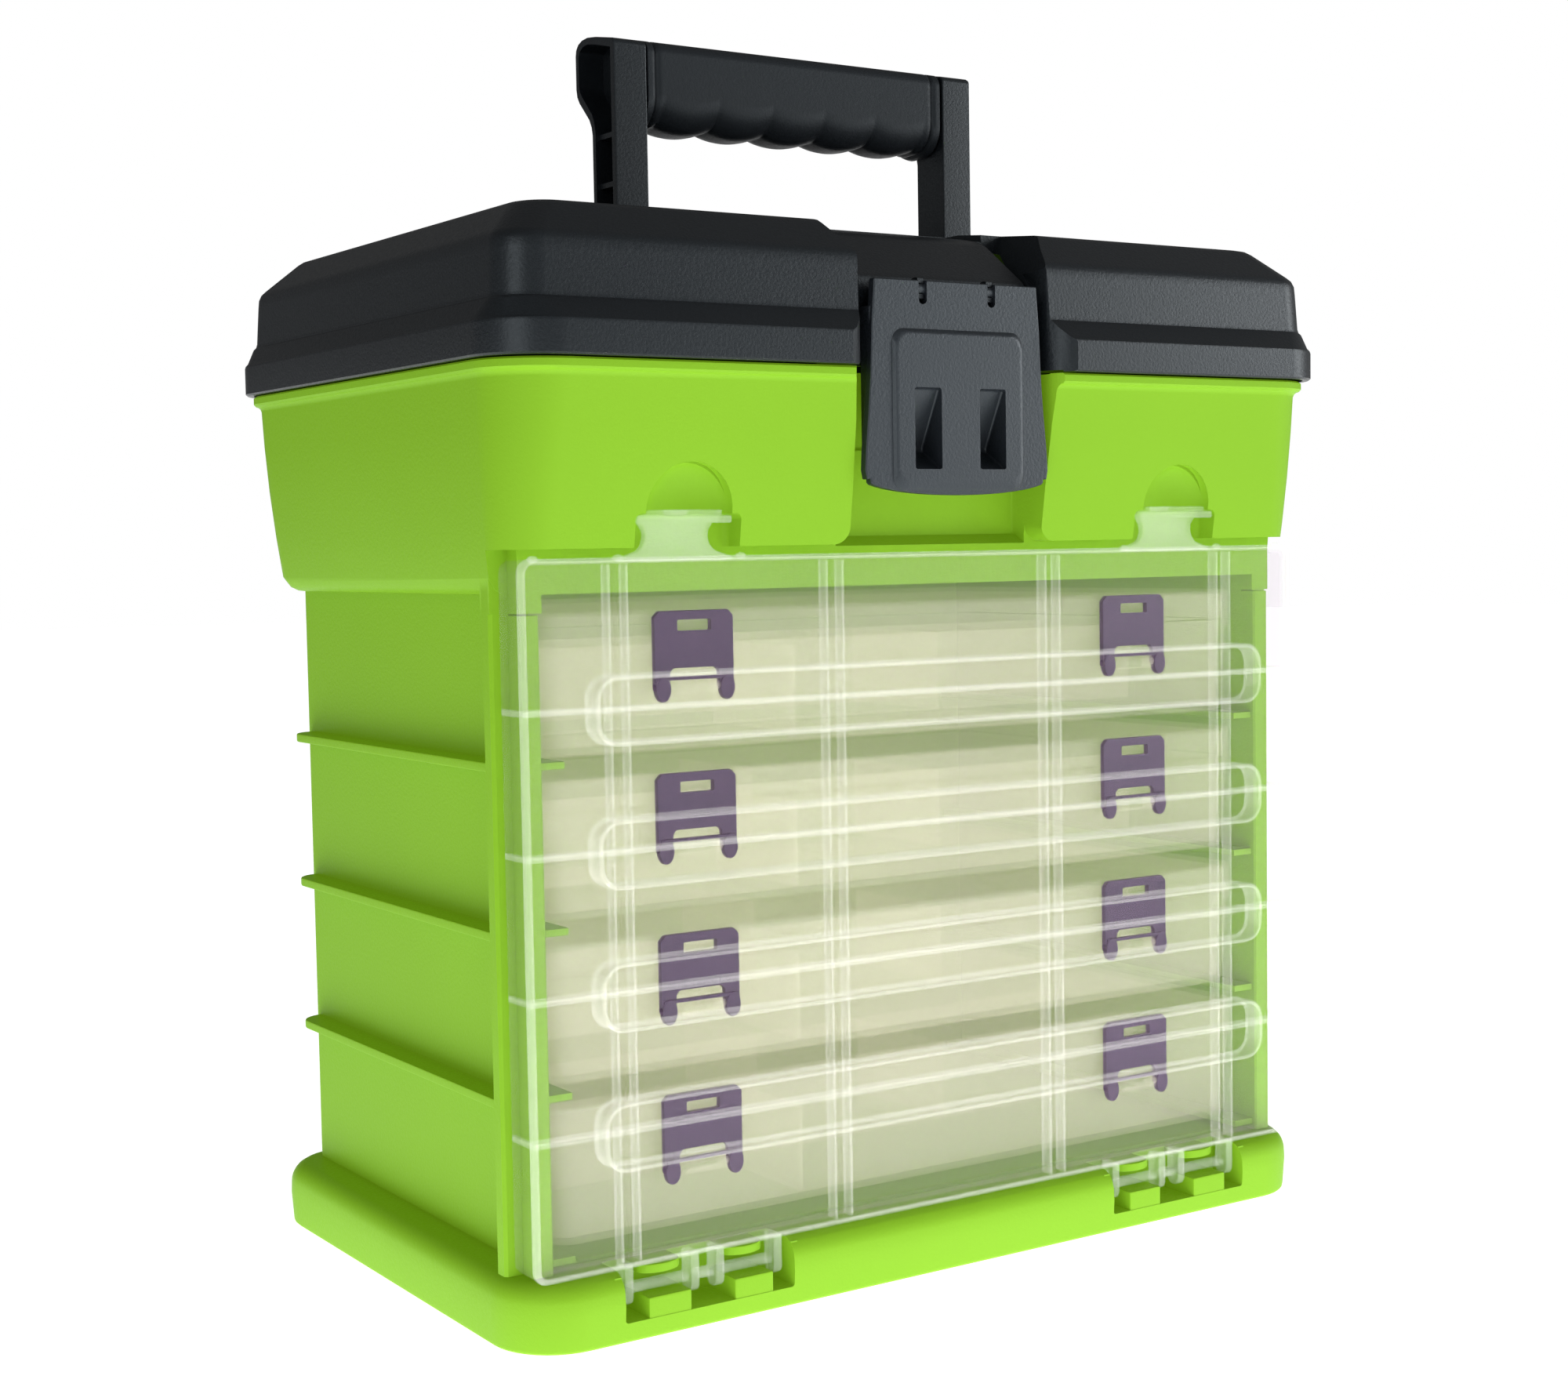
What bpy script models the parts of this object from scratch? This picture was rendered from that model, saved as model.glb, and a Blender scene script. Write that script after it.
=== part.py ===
"""Fishing tackle box: a green cabinet with a flared top bin, a black lid with a
handle and a latch, a translucent drop-down door and four clear organizers.

The origin is the centre of the base's underside. +X is the box's right, -Y its
front and +Z up. Sizes are written in millimetres and become metres in finish().
"""

import math

import bmesh
import bpy
from mathutils import Matrix, Vector

MM = 0.001
GAP = 0.3  # clearance between two pieces that touch

# Lid
LID_X, LID_Y, LID_R = 135.0, 89.5, 17.0
LID_Z = 240.9
LID_RIM_Z, LID_STEP_Z, LID_WALL_Z, LID_CHAMFER_Z, LID_TOP_Z = 249.6, 254.4, 269.3, 278.9, 281.7
LID_WALL = 2.3
RECESS_X = 30.5  # half width of the front recess that holds the latch
RECESS_Y = -78.8  # its back wall in the lid

# Top bin
BIN_TOP_Z = LID_Z - GAP
BIN_FLANGE_Z = 237.8
BIN_Z = 184.5
BIN_FRONT_Z = 195.4  # underside of the bin's overhang above the door
BIN_WALL = 2.2
BIN_RECESS_Y = -68.5
HEADER_Y = -72.4  # front of the strip between the door's top and the bin
HEADER_X = 124.2

# Lower cabinet and base
BASE_X, BASE_Y, BASE_R, BASE_Z = 132.0, 81.8, 18.5, 17.3
# The base's top edge, as (inset, height): round about the door's axis, so that the door swings clear.
BASE_EDGE = ((0.2, 12.4), (1.1, 14.8), (3.0, 16.6), (5.4, BASE_Z))
WALL_X, WALL = 120.7, 2.0
REAR_Y = 73.8
POST_X, POST_FRONT_Y, POST_REAR_Y = 129.2, -72.4, -62.0
RIB_X, RIB_REAR_Y = 127.5, 69.0
RIB_TOP_Z = (60.2, 101.8, 143.6)
RIB_THICK = 2.4
POST_NOSE_X = 124.3  # the post is narrower where the door's sides pass over it
CABINET_TOP_Z = BIN_Z - GAP

# Door and its hinge
DOOR_X, DOOR_FRONT_Y, DOOR_REAR_Y = 126.8, -79.0, -67.4
DOOR_Z0, DOOR_Z1 = 17.7, 193.0
DOOR_WALL = 2.0
DOOR_FLOOR_REAR_Y = -74.0  # the bottom and top edges are shallower than the sides
DOOR_ROOF_REAR_Y = HEADER_Y - GAP - 0.2
DOOR_AXIS_Y, DOOR_AXIS_Z = -76.6, 12.2
ROD_R = 1.5
UPRIGHT_X = (36.3, 100.3)
CROSS_RIB_Z = (156.3, 121.4, 86.5, 52.1)
FRAME_X, FRAME_H, FRAME_Y = 110.0, 17.4, -84.4
FIN_X = (57.5, 75.0, 82.4, 101.4)
FIN_W = 2.6
SEAT_X = ((60.5, 72.1), (84.9, 97.2))  # where the base holds the door's rods
HINGE_RECESS_X = (54.2, 104.0)
TAB_X, TAB_W = 81.5, 13.7

# Lid hinge at the back and latch hinge at the front
LID_AXIS_Y, LID_AXIS_Z = 86.5, 236.6
LID_HINGE_X = 80.0
LATCH_AXIS_Y, LATCH_AXIS_Z = -82.4, 261.4
LATCH_X, LATCH_Y, LATCH_Z0, LATCH_Z1 = 28.3, -84.6, 207.8, 263.4
LATCH_FOOT_X = 30.2  # the latch is widest at its foot
LATCH_SLOT_X = 11.3

# Handle
POST_IN_X, POST_OUT_X = 50.8, 61.0
HANDLE_FRONT_Y, HANDLE_TOP_Z, HANDLE_FOOT_Z = -12.7, 336.5, 274.0
GRIP_X, GRIP_PITCH = 50.4, 17.8
GRIP_Y, GRIP_TOP_Z, GRIP_CUSP_Z, GRIP_SWELL = (-12.3, 9.2), 336.0, 312.3, 1.8
GRIP_CROWN = 2.4  # how far the grip's top falls away towards its front edge
CORE_Y, CORE_Z = (-6.0, 3.0), (317.5, 328.5)

# Organizers
ORGANIZERS = 4
PITCH = 40.9
ORG_Z = 21.3
ORG_X, ORG_FRONT_Y, ORG_REAR_Y = 116.6, -67.2, 65.0
TRAY_H, ORG_H = 27.2, 36.2
TRAY_WALL = 1.5
LONG_WALLS_Y = (-23.7, 20.0)
DIVIDER_X = (-40.0, 38.0, 0.0)  # one removable divider in each row
DRAWER_LATCH_X, DRAWER_LATCH_W = 73.6, 11.7
DRAWER_PIVOT_Y, DRAWER_PIVOT_Z = -69.4, 16.3

GREEN = (0.27, 0.55, 0.02, 1.0)
BLACK = (0.022, 0.024, 0.027, 1.0)
FROSTED = (0.80, 0.84, 0.78, 0.45)
CLEAR = (0.86, 0.90, 0.88, 0.35)
SMOKE = (0.05, 0.05, 0.07, 1.0)


# ---------------------------------------------------------------- building aids
def start_scene():
    for obj in list(bpy.data.objects):
        bpy.data.objects.remove(obj)
    collections = []
    for name in ("tackle_box", "cutters"):
        collection = bpy.data.collections.new(name)
        bpy.context.scene.collection.children.link(collection)
        collections.append(collection)
    return collections


def finish(bm, name, collection):
    """Turn a millimetre bmesh into an object in metres."""
    bmesh.ops.remove_doubles(bm, verts=bm.verts, dist=0.001)
    bmesh.ops.recalc_face_normals(bm, faces=bm.faces)
    bmesh.ops.scale(bm, vec=(MM, MM, MM), verts=bm.verts)
    mesh = bpy.data.meshes.new(name)
    bm.to_mesh(mesh)
    bm.free()
    obj = bpy.data.objects.new(name, mesh)
    collection.objects.link(obj)
    return obj


def box(x, y, z):
    """A block between the pairs x, y and z."""
    bm = bmesh.new()
    middle = Vector([(pair[0] + pair[1]) / 2 for pair in (x, y, z)])
    size = [abs(pair[1] - pair[0]) for pair in (x, y, z)]
    matrix = Matrix.Translation(middle) @ Matrix.Diagonal((*size, 1.0))
    bmesh.ops.create_cube(bm, size=1.0, matrix=matrix)
    return bm


def rod(x, y, z, radius, sides=12):
    """A cylinder along X from x[0] to x[1]."""
    bm = bmesh.new()
    turn = Matrix.Rotation(math.pi / 2, 4, "Y")
    matrix = Matrix.Translation(((x[0] + x[1]) / 2, y, z)) @ turn
    bmesh.ops.create_cone(bm, cap_ends=True, segments=sides, radius1=radius, radius2=radius,
                          depth=abs(x[1] - x[0]), matrix=matrix)
    return bm


def ball(centre, radii):
    bm = bmesh.new()
    matrix = Matrix.Translation(centre) @ Matrix.Diagonal((*radii, 1.0))
    bmesh.ops.create_uvsphere(bm, u_segments=16, v_segments=10, radius=1.0, matrix=matrix)
    return bm


def prism(outline, axis, low, high):
    """An outline of (a, b) pairs, extruded along the given axis from low to high."""
    place = {"X": lambda a, b, c: (c, a, b), "Y": lambda a, b, c: (a, c, b), "Z": lambda a, b, c: (a, b, c)}
    bm = bmesh.new()
    face = bm.faces.new([bm.verts.new(place[axis](a, b, low)) for a, b in outline])
    grown = bmesh.ops.extrude_face_region(bm, geom=[face])["geom"]
    raised = [item for item in grown if isinstance(item, bmesh.types.BMVert)]
    step = Vector(place[axis](0.0, 0.0, high - low))
    bmesh.ops.translate(bm, vec=step, verts=raised)
    return bm


def loft(rings, closed=False):
    """A skin through rings of equal length, capped at both ends or closed on itself."""
    bm = bmesh.new()
    rows = [[bm.verts.new(point) for point in ring] for ring in rings]
    pairs = list(zip(rows, rows[1:]))
    if closed:
        pairs.append((rows[-1], rows[0]))
    for lower, upper in pairs:
        for i in range(len(lower)):
            j = (i + 1) % len(lower)
            bm.faces.new((lower[i], lower[j], upper[j], upper[i]))
    if not closed:
        bm.faces.new(rows[0])
        bm.faces.new(rows[-1])
    return bm


def rounded(a0, a1, b0, b1, radius, steps=4):
    """The corners of a rounded rectangle as (a, b) pairs, anticlockwise."""
    points = []
    centres = ((a1 - radius, b1 - radius), (a0 + radius, b1 - radius),
               (a0 + radius, b0 + radius), (a1 - radius, b0 + radius))
    for quarter, (a, b) in enumerate(centres):
        for step in range(steps + 1):
            angle = math.pi / 2 * (quarter + step / steps)
            points.append((a + radius * math.cos(angle), b + radius * math.sin(angle)))
    return points


def plan(half_x, y0, y1, radius, z, steps=4):
    """A rounded rectangle lying flat at height z."""
    return [(a, b, z) for a, b in rounded(-half_x, half_x, y0, y1, radius, steps)]


def upright(half_x, z0, z1, radius, y, steps=3):
    """A rounded rectangle standing in the plane y."""
    return [(a, y, b) for a, b in rounded(-half_x, half_x, z0, z1, radius, steps)]


def combine(target, operation, shapes):
    for bm in shapes:
        tool = finish(bm, f"{target.name}_{operation.lower()}", CUTTERS)
        tool.hide_render = True
        tool.display_type = "WIRE"
        modifier = target.modifiers.new(operation.title(), "BOOLEAN")
        modifier.operation = operation
        modifier.solver = "EXACT"
        modifier.object = tool


def join(target, *shapes):
    combine(target, "UNION", shapes)


def cut(target, *shapes):
    combine(target, "DIFFERENCE", shapes)


def material(name, colour, roughness, transmission=0.0):
    made = bpy.data.materials.get(name) or bpy.data.materials.new(name)
    made.use_nodes = True
    shader = made.node_tree.nodes["Principled BSDF"]
    shader.inputs["Base Color"].default_value = (*colour[:3], 1.0)
    shader.inputs["Alpha"].default_value = colour[3]
    shader.inputs["Roughness"].default_value = roughness
    shader.inputs["Metallic"].default_value = 0.0
    shader.inputs["Transmission Weight"].default_value = transmission
    return made


def part(name, bm, look):
    obj = finish(bm, name, PARTS)
    obj.data.materials.append(look)
    return obj


def set_origin(obj, y, z):
    """Move the object's origin onto its joint's axis, leaving its shape in place."""
    offset = Vector((0.0, y * MM, z * MM))
    obj.data.transform(Matrix.Translation(-offset))
    obj.location = offset


def both_sides(low, high):
    """The pair (low, high) on the right and its mirror image on the left."""
    return ((low, high), (-high, -low))


# ---------------------------------------------------------------- base
def make_base(look):
    inner = 2.6
    bm = loft([
        plan(BASE_X - inner, -BASE_Y + inner, BASE_Y - inner, BASE_R - inner, BASE_Z - inner),
        plan(BASE_X - inner, -BASE_Y + inner, BASE_Y - inner, BASE_R - inner, 0.0),
        plan(BASE_X - 0.6, -BASE_Y + 0.6, BASE_Y - 0.6, BASE_R - 0.6, 0.0),
        plan(BASE_X, -BASE_Y, BASE_Y, BASE_R, 9.0),
    ] + [plan(BASE_X - inset, -BASE_Y + inset, BASE_Y - inset, BASE_R - inset, z) for inset, z in BASE_EDGE])
    base = part("base", bm, look)
    low, high = HINGE_RECESS_X
    seat_z = DOOR_AXIS_Z - ROD_R - GAP - 0.2
    tongue_z = (14.9, BASE_Z - 0.1)
    for x0, x1 in both_sides(low, high):
        join(base, box((x0 - 2, x1 + 2), (-79.9, -66.8), (3.0, BASE_Z - 1.0)))
        cut(base, box((x0, x1), (-95.0, -69.0), (5.0, 30.0)))
    for s0, s1 in SEAT_X:
        for x0, x1 in both_sides(s0, s1):
            join(base, box((x0, x1), (-81.2, -68.0), (4.0, seat_z)))
            middle, half = (x0 + x1) / 2, (x1 - x0) / 2
            curve = [(middle + half * math.cos(a), -74.6 - 3.8 * math.sin(a))
                     for a in [math.pi * i / 8 for i in range(9)]]
            join(base, prism(curve + [(x0, -68.0), (x1, -68.0)], "Z", *tongue_z))
    return base


# ---------------------------------------------------------------- cabinet
def make_cabinet(look):
    inner_x = WALL_X - WALL
    right = [(inner_x, REAR_Y - WALL), (inner_x, POST_FRONT_Y), (POST_NOSE_X, POST_FRONT_Y),
             (POST_NOSE_X, DOOR_REAR_Y + 0.5), (POST_X, DOOR_REAR_Y + 0.5), (POST_X, POST_REAR_Y),
             (WALL_X, POST_REAR_Y), (WALL_X, REAR_Y - 3.0), (WALL_X - 1.0, REAR_Y - 1.0),
             (WALL_X - 3.0, REAR_Y)]
    outline = right + [(-x, y) for x, y in reversed(right)]
    cabinet = part("cabinet", prism(outline, "Z", BASE_Z + GAP, CABINET_TOP_Z), look)
    for level in range(ORGANIZERS):
        shelf = ORG_Z + level * PITCH - GAP
        for x0, x1 in both_sides(inner_x - 7.0, inner_x + 0.6):
            join(cabinet, box((x0, x1), (POST_FRONT_Y + 1.5, REAR_Y - 1.0), (shelf - 1.9, shelf)))
    for top in RIB_TOP_Z:
        for x0, x1 in both_sides(WALL_X - 0.7, RIB_X):
            join(cabinet, box((x0, x1), (POST_REAR_Y - 1.0, RIB_REAR_Y), (top - RIB_THICK, top)))
    return cabinet


# ---------------------------------------------------------------- top bin
def make_top_bin(look):
    bm = loft([
        plan(126.6, -76.0, 72.0, 11.0, BIN_Z),
        plan(129.2, -78.0, 74.3, 10.5, BIN_Z + 4.0),
        plan(131.4, -81.7, 79.9, 14.0, 213.0),  # the sides swell a little halfway up
        plan(132.0, -85.5, 85.5, 17.0, BIN_FLANGE_Z),
        plan(133.3, -87.6, 87.6, 17.5, BIN_FLANGE_Z),
        plan(133.3, -87.6, 87.6, 17.5, BIN_TOP_Z),
        plan(132.2 - BIN_WALL, -85.7 + BIN_WALL, 85.7 - BIN_WALL, 15.0, BIN_TOP_Z),
        plan(127.4 - BIN_WALL, -78.0 + BIN_WALL, 71.0 - BIN_WALL, 13.0, BIN_Z + 2.3),
    ])
    top_bin = part("top_bin", bm, look)
    # The front overhang: a ledge over the door, with a wall below it and behind it.
    cut(top_bin, box((-140.0, 140.0), (-95.0, DOOR_REAR_Y + GAP), (BIN_Z - 5.0, BIN_FRONT_Z)))
    join(top_bin, box((-HEADER_X, HEADER_X), (HEADER_Y, HEADER_Y + 6.0), (BIN_Z, BIN_FRONT_Z + 2.2)),
         front_ledge(BIN_FRONT_Z, BIN_FRONT_Z + 2.2))
    # The recess between the two front lobes.
    stock = [(-78.5, BIN_FRONT_Z - 1.0), (-84.8, BIN_FLANGE_Z), (-84.8, BIN_TOP_Z - 0.2),
             (BIN_RECESS_Y + 2.2, BIN_TOP_Z - 0.2), (BIN_RECESS_Y + 2.2, BIN_FRONT_Z - 1.0)]
    join(top_bin, prism(stock, "X", -RECESS_X - 4.7, RECESS_X + 4.7))
    for side in (1, -1):
        x = side * (TAB_X - 1.0)
        join(top_bin, box((x - 17.2, x + 17.2), (-78.6, -70.0), (BIN_FRONT_Z - 1.0, 221.0)))
        cut(top_bin, ball((x, -80.6, 204.2), (12.4, 7.4, 12.4)))
        cut(top_bin, box((x - 15.2, x + 15.2), (-95.0, HEADER_Y - 0.2), (BIN_FRONT_Z - 3.0, 204.2)))
    inside = [(RECESS_X + 4.6, -95.0), (RECESS_X + 3.6, -87.0), (RECESS_X + 1.9, -84.4),
              (RECESS_X + 1.3, -80.0), (RECESS_X + 0.8, BIN_RECESS_Y)]
    outline = inside + [(-x, y) for x, y in reversed(inside)]
    cut(top_bin, prism(outline, "Z", BIN_FRONT_Z + 0.8, BIN_TOP_Z + 5.0),
        box((-RECESS_X - 1.0, RECESS_X + 1.0), (-95.0, HEADER_Y), (BIN_FRONT_Z - 2.0, BIN_FRONT_Z + 2.0)))
    for side in (1, -1):
        # The rounded lower corner of each front lobe, beside the recess.
        turn = [(side * (RECESS_X + 5.6 - 4.6 * math.sin(a)), BIN_FRONT_Z + 4.6 - 4.6 * math.cos(a))
                for a in [math.pi / 2 * i / 4 for i in range(5)]]
        corner = turn + [(side * (RECESS_X - 1.0), BIN_FRONT_Z + 4.6), (side * (RECESS_X - 1.0), BIN_FRONT_Z - 2.0),
                         (side * (RECESS_X + 5.6), BIN_FRONT_Z - 2.0)]
        cut(top_bin, prism(corner, "Y", -95.0, HEADER_Y))
    join(top_bin, box((-17.0, 17.0), (-75.0, BIN_RECESS_Y + 0.8), (226.0, 229.0)))
    add_lid_clips(top_bin)
    return top_bin


def front_ledge(low, high):
    """The underside of the bin's front, rounded at its two corners."""
    arc = [math.radians(-12.0 - 78.0 * i / 4) for i in range(5)]
    edge = [(116.4 + 12.9 * math.cos(a), -65.5 + 12.9 * math.sin(a)) for a in arc]
    return prism(edge + [(-x, y) for x, y in reversed(edge)], "Z", low, high)


def add_lid_clips(top_bin):
    """The two clips at the back that hold the rods of the lid."""
    for side in (1, -1):
        x = side * LID_HINGE_X
        join(top_bin, box((x - 18.0, x + 18.0), (80.6, 84.0), (229.0, BIN_TOP_Z - 0.2)),
             box((x - 9.0, x + 9.0), (80.0, LID_AXIS_Y + 2.7), (LID_AXIS_Z - 4.2, LID_AXIS_Z + 2.8)))
        for ear in (12.5, -12.5):
            cut(top_bin, box((x + ear - 3.2, x + ear + 3.2), (83.0, 95.0), (LID_AXIS_Z - 3.8, 245.0)))
        cut(top_bin, rod((x - 12.0, x + 12.0), LID_AXIS_Y, LID_AXIS_Z, ROD_R + GAP, 16),
            box((x - 12.0, x + 12.0), (LID_AXIS_Y, 95.0), (LID_AXIS_Z - 1.3, LID_AXIS_Z + 1.3)))


# ---------------------------------------------------------------- lid
def make_lid(look):
    w = LID_WALL
    bm = loft([
        plan(91.0, -48.0, 48.0, 8.0, LID_TOP_Z),
        plan(120.7, -74.0, 74.0, 8.5, LID_CHAMFER_Z),
        plan(130.5, -83.8, 83.8, 10.0, LID_WALL_Z),
        plan(131.2, -84.5, 84.5, 10.0, LID_STEP_Z),
        plan(LID_X, -LID_Y, LID_Y, LID_R, LID_RIM_Z),
        plan(LID_X, -LID_Y, LID_Y, LID_R, LID_Z),
        plan(LID_X - w, -LID_Y + w, LID_Y - w, LID_R - w, LID_Z),
        plan(LID_X - w, -LID_Y + w, LID_Y - w, LID_R - w, LID_RIM_Z - 1.0),
        plan(130.0 - w, -84.5 + w, 84.5 - w, 12.0, LID_STEP_Z - 1.0),
        plan(129.3 - w, -83.8 + w, 83.8 - w, 12.0, LID_WALL_Z - 1.2),
        plan(118.5, -73.0, 73.0, 10.0, LID_CHAMFER_Z - 2.4),
        plan(90.0, -47.0, 47.0, 7.0, LID_TOP_Z - 2.5),
    ])
    lid = part("lid", bm, look)
    backing = [(-88.0, LID_Z + 0.4), (RECESS_Y + 2.3, LID_Z + 0.4), (RECESS_Y + 2.3, 262.0),
               (-60.0, 275.6), (-50.0, 277.4), (-50.0, 280.2), (-88.0, 268.0)]
    join(lid, prism(backing, "X", -RECESS_X - 2.6, RECESS_X + 2.6))
    recess = [(-95.0, 230.0), (RECESS_Y, 230.0), (RECESS_Y, 264.6), (-59.0, 277.8), (-45.0, 280.5),
              (-45.0, 300.0), (-95.0, 300.0)]
    cut(lid, prism(recess, "X", -RECESS_X, RECESS_X))
    for side in (1, -1):
        add_latch_hook(lid, side * LATCH_SLOT_X)
        add_lid_ears(lid, side * LID_HINGE_X)
        x0, x1 = sorted((side * (POST_IN_X - GAP), side * (POST_OUT_X + GAP)))
        cut(lid, box((x0, x1), (HANDLE_FRONT_Y - GAP, 0.5 + GAP), (270.0, 290.0)))
    return lid


def add_latch_hook(lid, x):
    """One of the two hooks that the latch's rod turns in. It opens to the front."""
    y, z = LATCH_AXIS_Y, LATCH_AXIS_Z
    thick = 0.95
    join(lid, rod((x - thick, x + thick), y, z, 2.9, 16),
         box((x - thick, x + thick), (y + 1.5, RECESS_Y + 1.0), (z - 2.4, z + 2.0)))
    cut(lid, rod((x - 2.0, x + 2.0), y, z, 1.6 + GAP, 16),
        box((x - 2.0, x + 2.0), (-90.0, y - 1.2), (z - 4.0, z + 4.0)))


def add_lid_ears(lid, x):
    """Two ears below the back rim with a rod between them, on the lid's hinge axis."""
    y, z = LID_AXIS_Y, LID_AXIS_Z
    for ear in (12.5, -12.5):
        ends = (x + ear - 1.5, x + ear + 1.5)
        join(lid, rod(ends, y, z, 2.9, 16), box(ends, (y - 2.7, y + 2.85), (z, LID_Z + 2.0)))
    join(lid, rod((x - 12.0, x + 12.0), y, z, ROD_R))


# ---------------------------------------------------------------- lid latch
def make_latch(look):
    x, top = LATCH_X, LATCH_Z1
    wide = LATCH_FOOT_X
    bow = [(wide * 0.93 * math.cos(a), LATCH_Z0 + 4.6 - 4.6 * math.sin(a))
           for a in [math.pi * i / 8 for i in range(9)]]
    outline = [(-x + 1.0, top), (-x, top - 30.0), (-wide, LATCH_Z0 + 7.0)]
    outline += list(reversed(bow)) + [(wide, LATCH_Z0 + 7.0), (x, top - 30.0), (x - 1.0, top)]
    latch = part("lid_latch", prism(outline, "Y", LATCH_Y, LATCH_Y + 2.3), look)
    for x0, x1 in both_sides(x - 1.8, x - 0.1):
        join(latch, box((x0, x1), (LATCH_Y + 1.0, -79.2), (LATCH_Z0 + 9.0, 256.4)))
    pad = rounded(-21.0, 21.0, LATCH_Z0 + 5.2, 250.4, 4.0)
    join(latch, prism(pad, "Y", LATCH_Y - 1.0, LATCH_Y + 0.5))
    # Two finger pockets, deepest near their foot.
    for x0, x1 in both_sides(5.1, 16.2):
        shell = [(LATCH_Y + 0.5, 213.2), (LATCH_Y + 1.6, 213.2), (-75.4, 218.6), (-75.4, 220.6),
                 (LATCH_Y + 2.2, 236.8), (LATCH_Y + 0.5, 236.8)]
        join(latch, prism(shell, "X", x0, x1))
    for x0, x1 in both_sides(6.3, 15.0):
        slant = [(-95.0, 214.4), (LATCH_Y, 214.4), (-76.8, 219.3), (-76.8, 220.2), (LATCH_Y + 0.6, 235.6),
                 (-95.0, 235.6)]
        cut(latch, prism(slant, "X", x0, x1))
    for x0, x1 in both_sides(LATCH_SLOT_X - 1.3, LATCH_SLOT_X + 1.3):
        cut(latch, box((x0, x1), (-95.0, -81.0), (257.6, 270.0)))
    join(latch, rod((-x + 2.0, x - 2.0), LATCH_AXIS_Y, LATCH_AXIS_Z, 1.6))
    # The lip that snaps under the bin's catch.
    join(latch, box((-5.5, 5.5), (LATCH_Y + 1.0, -75.8), (219.6, 222.4)))
    set_origin(latch, LATCH_AXIS_Y, LATCH_AXIS_Z)
    return latch


# ---------------------------------------------------------------- handle
def make_handle_frame(look):
    """Two channel-shaped posts and the core bar that runs through the grip."""
    front, top = HANDLE_FRONT_Y, HANDLE_TOP_Z
    side = [(front, HANDLE_FOOT_Z), (0.5, HANDLE_FOOT_Z), (0.5, 310.0), (2.2, 313.8), (7.9, 319.6),
            (9.3, 322.8), (9.3, 333.0), (8.3, 335.0), (5.6, top - 0.3), (2.5, top), (front + 1.0, 333.8),
            (front, 332.9)]
    hollow = [(front + 2.0, LID_TOP_Z + 2.0), (-1.5, LID_TOP_Z + 2.0), (-1.5, 311.0), (0.4, 315.0),
              (6.0, 320.6), (7.3, 323.4), (7.3, 332.4), (5.0, top - 2.2), (2.5, top - 2.0),
              (front + 2.0, 331.9)]
    frame = part("handle_frame", box((-POST_IN_X - 1.0, POST_IN_X + 1.0), CORE_Y, CORE_Z), look)
    for x0, x1 in both_sides(POST_IN_X, POST_OUT_X):
        join(frame, prism(side, "X", x0, x1))
    for x0, x1 in both_sides(POST_IN_X + 2.4, POST_OUT_X + 1.0):
        cut(frame, prism(hollow, "X", x0, x1))
    for x0, x1 in both_sides(POST_IN_X + 1.0, POST_OUT_X - 1.2):
        for z, rear in ((294.4, -0.5), (307.8, -0.5)):
            join(frame, box((x0, x1), (front + 1.0, rear), (z, z + 1.4)))
    return frame


def grip_section(x):
    """The grip's outline in Y and Z; the underside swells under each finger."""
    low = GRIP_CUSP_Z - GRIP_SWELL * abs(math.cos(math.pi * x / GRIP_PITCH))
    corners = rounded(*GRIP_Y, low, GRIP_TOP_Z, 2.5, 2)[:6]
    upper = corners[:3] + [(4.5, GRIP_TOP_Z), (0.0, GRIP_TOP_Z), (-5.0, GRIP_TOP_Z)] + corners[3:]
    lower = rounded(*GRIP_Y, low, GRIP_TOP_Z, 7.0, 4)[10:]
    crowned = [(y, z - GRIP_CROWN * ((y - 2.0) / 14.3) ** 2) for y, z in upper]
    return [(x, y, z) for y, z in crowned + lower]


def make_grip(look):
    steps = 44
    rings = [grip_section(-GRIP_X + 2 * GRIP_X * i / steps) for i in range(steps + 1)]
    grip = part("handle_grip", loft(rings), look)
    cut(grip, box((-60.0, 60.0), (CORE_Y[0] - GAP, CORE_Y[1] + GAP), (CORE_Z[0] - GAP, CORE_Z[1] + GAP)))
    return grip


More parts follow.
